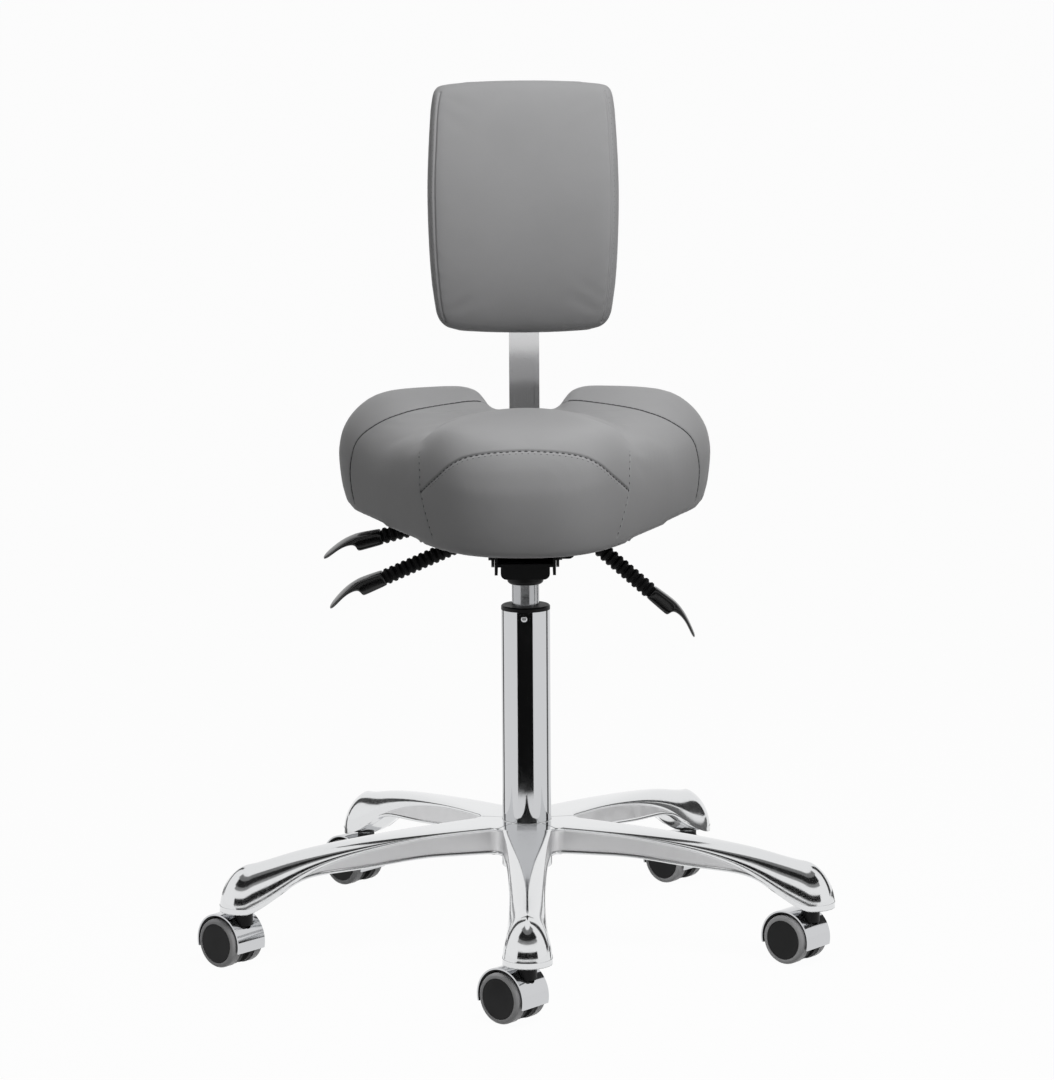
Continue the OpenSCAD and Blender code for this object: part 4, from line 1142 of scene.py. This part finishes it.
def seam_on(tree, points, in_world):
    """A seam's path on a cushion, from places in the cushion's own frame."""
    world = np.array([in_world @ Vector(mm(*p)) for p in points]) / MM
    return on_surface(tree, path_through(world, 2.0))[0]


seat_mesh = closed_form("saddle_cushion", seat_rings(seat_outline))
seat_mesh.transform(IN_SEAT)
seat_tree = skin_of(seat_mesh)
crease, *seat_seams = [
    seam_on(seat_tree, seam, IN_SEAT) for seam in (
        CREASE, mirrored(ARCH_HALF)[:0:-1] + ARCH_HALF, WING_SEAM, mirrored(WING_SEAM),
        NOSE_SEAM, mirrored(NOSE_SEAM))]

# %% Seat: the cushion
OUT_OF_SEAT = np.array(IN_SEAT.inverted())
SEAT_HELD_H = 6
SEAT_SEAM_DEPTHS = (1.3, 1.5, 1.5, 0.6, 0.6)


def seat_held(points):
    """The cover is held along its seams and under the board."""
    local_z = (points * MM) @ OUT_OF_SEAT[2, :3] + OUT_OF_SEAT[2, 3]
    return (gap_to(points, seat_seams) < HOLD_REACH) | (local_z < SEAT_HELD_H * MM)


saddle = swollen(seat_mesh, "saddle_cushion", 4.5, seat_held, 4.0, 5)
pressed(saddle, crease, CREASE_DEPTH, CREASE_HALF_W)
seat_tree = skin_of(saddle.data)
seat_seams = [on_surface(seat_tree, path)[0] for path in seat_seams]
sew(saddle, seat_seams, SEAT_SEAM_DEPTHS)
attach(saddle, "seat")
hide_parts("seat_cushion")
print("saddle:", len(saddle.data.polygons), "faces")

# %% Seat: thread
# Name, seam, then in millimetres: offset from the seam, length, pitch and depth of the stitch
arch, wing_right, wing_left, nose_right, nose_left = seat_seams
for name, seam, *sizes in (
        ("saddle_arch_stitches", arch, 0.2, 3.2, 6.0, 0.5),
        ("saddle_top_stitches", arch[10:-10], 3.2, 3.4, 6.0, 0.3),
        # The wing seams show no stitches: their capsules are longer than the pitch and join into an
        # unbroken dark cord in the groove, which is painted shade for the seam's dark line.
        ("saddle_wing_thread_right", wing_right[4:-4], 0.0, 6.6, 6.0, 0.35),
        ("saddle_wing_thread_left", wing_left[4:-4], 0.0, 6.6, 6.0, 0.35),
        ("saddle_nose_stitches_right", nose_right, 0.2, 2.6, 7.0, 0.4),
        ("saddle_nose_stitches_left", nose_left, 0.2, 2.6, 7.0, 0.4)):
    stitches(name, seat_tree, seam, *sizes, "seat")

# %% [markdown]
# The backrest is a lumbar pad: flat across, but curved like a barrel from top to bottom, so
# that its upper part faces up and catches the light. Two upright seams part the front from
# narrow side panels, and the cover closes over a board behind.

# %% Backrest: form
BACK_FACE_Y = box_mm("back_board")[1][1]
BACK_MIDDLE_Z = (box_mm("back_cushion")[0][2] + box_mm("back_cushion")[1][2]) / 2
BACK_W, BACK_H, BACK_T = 200, 266, 48
BACK_OUTLINE_SHARES = [
    (0, 0), (0.42, 0.004), (0.76, 0.018), (0.89, 0.05), (0.935, 0.11), (0.975, 0.25),
    (0.995, 0.42), (1, 0.58), (0.985, 0.74), (0.962, 0.88), (0.935, 0.955), (0.84, 0.984),
    (0.42, 0.997), (0, 1)]
BACK_RINGS = [(0.5, 0), (0.93, 0), (0.95, 0.02), (0.968, 0.08), (0.985, 0.2), (0.997, 0.38),
              (1.0, 0.55), (0.996, 0.7), (0.984, 0.82), (0.962, 0.91), (0.93, 0.965),
              (0.88, 0.99), (0.8, 1.0), (0.68, 1.0), (0.52, 1.0), (0.34, 1.0), (0.17, 1.0)]
BARREL_DROP = 25
BARREL_POWER = 2.1
FULLEST_Y = 6
IN_BACK = Matrix.Translation(mm(0, BACK_FACE_Y, BACK_MIDDLE_Z)) @ Matrix.Rotation(
    math.radians(90), 4, "X")
back_outline = smooth_loop(both_sides(
    [(x * BACK_W / 2, (y - 0.5) * BACK_H) for x, y in BACK_OUTLINE_SHARES]))


def back_depth(y):
    """Depth of the pad at a height from its middle: a barrel, fullest a little above it."""
    return BACK_T - BARREL_DROP * np.abs((y - FULLEST_Y) / (BACK_H / 2)) ** BARREL_POWER


def back_rings(outline):
    """Rings of the pad in its own frame, from the board forwards to the middle."""
    return [np.column_stack([outline * share, depth * back_depth(outline[:, 1] * share)])
            for share, depth in BACK_RINGS]


# %% Backrest: cushion
# Half the distance between the seams, by height from the middle of the pad
BACK_SEAM = [(-122, 83), (-104, 87), (-66, 90.5), (-21, 92.5), (21, 93), (64, 91.5), (101, 89.5),
             (124, 86)]
BACK_SEAM_DEPTH_SHARE = 0.96
BACK_SEAM_DEPTHS = (1.4, 1.4)
BACK_HELD_T = 3


def back_held(points):
    """The cover is held along its seams and over the board."""
    return (gap_to(points, back_seams) < HOLD_REACH) | (points[:, 1] > BACK_FACE_Y - BACK_HELD_T)


back_mesh = closed_form("backrest_cushion", back_rings(back_outline))
back_mesh.transform(IN_BACK)
back_tree = skin_of(back_mesh)
back_seams = [seam_on(back_tree, [(side * x, y, BACK_SEAM_DEPTH_SHARE * back_depth(y))
                                  for y, x in BACK_SEAM], IN_BACK) for side in (1, -1)]
backrest = swollen(back_mesh, "backrest_cushion", 4.0, back_held, 3.0, 4)
back_tree = skin_of(backrest.data)
back_seams = [on_surface(back_tree, path)[0] for path in back_seams]
sew(backrest, back_seams, BACK_SEAM_DEPTHS)
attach(backrest, "backrest")
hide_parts("back_cushion")
for name, seam, offset in (("backrest_stitches_right", back_seams[0], 3.0),
                           ("backrest_stitches_left", back_seams[1], -3.0)):
    stitches(name, back_tree, seam[2:-2], offset, 2.6, 5.4, 0.35, "backrest")
print("backrest:", len(backrest.data.polygons), "faces")

# %% [markdown]
# The three levers are alike: a bent rod, a ribbed rubber sleeve and a moulded paddle. The
# paddle has a square grip for the rod and a thin blade that curves down, thick at the root and
# blunt at the tip, with a shine along its crest. It is lofted through sections.

# %% Paddles
PIVOT_X, PIVOT_Z = 43.5, 412.6
# Side, place along Y, neck length and rise, slope of the run, sleeve start and length, roll
LEVERS = {
    "height_lever": (-1, 0, 19.5, 13.6, 23.7, 10, 78, 8),
    "seat_lever": (1, -30, 26.2, 20.6, 41.2, 2, 75.8, 0),
    "back_lever": (-1, 35, 63.8, 15.4, 14.8, 8, 35, 8),
}
# Along the paddle: distance from the sleeve, lower and upper side, half width, squareness
PADDLE = [(0.05, -6.6, 6.6, 7.4, 5), (0.8, -7.2, 7.3, 8.4, 5), (8, -7.3, 7.9, 8.8, 5),
          (17, -7.3, 8.7, 9.2, 5), (24, -7.3, 8.9, 9.6, 5), (26.8, -7.1, 8.8, 9.9, 4.5),
          (27.8, -5.6, 8.7, 10.1, 4), (28.4, -2.2, 8.6, 10.3, 3.4), (30.5, 0.4, 8.4, 10.6, 2.8),
          (35.5, 1.2, 7.5, 10.9, 2.6), (41.5, 0.9, 5.8, 11, 2.5), (48, -0.9, 3.3, 10.9, 2.5),
          (54, -3.5, 0.6, 10.4, 2.5), (59, -5.7, -1.8, 9.0, 2.4), (62.6, -6.8, -3.8, 6.0, 2.2),
          (63.9, -6.7, -5.2, 2.6, 2)]
SECTION_TURNS = np.arange(20) * 2 * math.pi / 20


def turned(points, axis, degrees):
    """Rows of points turned about an axis."""
    return points @ np.array(Matrix.Rotation(math.radians(degrees), 3, axis)).T


def paddle_rings(side, y, neck_l, neck_rise, slope, sleeve_at, sleeve_l, roll):
    """Rings of a paddle on its lever, in the stool's frame."""
    cos, sin = np.cos(SECTION_TURNS), np.sin(SECTION_TURNS)
    rings = []
    for u, low, high, half_w, square in PADDLE:
        across = half_w * np.sign(cos) * np.abs(cos) ** (2 / square)
        up = (high + low) / 2 + (high - low) / 2 * np.sign(sin) * np.abs(sin) ** (2 / square)
        rings.append(np.column_stack([np.full(len(cos), u), across, up]))
    points = turned(np.vstack(rings), "X", roll) + [sleeve_at + sleeve_l, 0, 0]
    points = turned(points, "Y", slope)
    rise = math.radians(neck_rise)
    points += [PIVOT_X + neck_l * math.cos(rise), y, PIVOT_Z + neck_l * math.sin(rise)]
    return (points * [side, 1, 1]).reshape(len(PADDLE), len(cos), 3)


for lever, sizes in LEVERS.items():
    blade = closed_form(lever + "_blade", paddle_rings(*sizes))
    paddle = new_piece(lever + "_blade", blade, ("black_polished_nylon",),
                       lever, (lever + "_paddle",))
    smoother(paddle, 1)
print("paddles:", len(LEVERS))

# %% Rivet
# A round head under the flange of the bush holds the bush in the column. Its first ring is
# sunk in the tube, and the others rise from the tube's face as a low dome.
RIVET_R, RIVET_RISE, RIVET_SUNK = 3.2, 1.2, 0.4
RIVET_X, RIVET_BELOW_TOP = -1.5, 6.5
RIVET_LIFTS_DEG = (0, 0.1, 15, 32, 50, 68, 82)
RIVET_TURNS = np.arange(24) * 2 * math.pi / 24

tube_low, tube_high = box_mm("column_tube")
rings = []
for lift in np.radians(RIVET_LIFTS_DEG):
    r = RIVET_R * math.cos(lift)
    out = RIVET_RISE * math.sin(lift) if lift else -RIVET_SUNK
    rings.append(np.array([(RIVET_X + r * math.cos(turn), tube_low[1] - out,
                            tube_high[2] - RIVET_BELOW_TOP + r * math.sin(turn))
                           for turn in RIVET_TURNS]))
new_piece("column_rivet", closed_form("column_rivet", rings), ("chromed_steel",),
          "base")
print("rivet below", round(tube_high[2], 1))
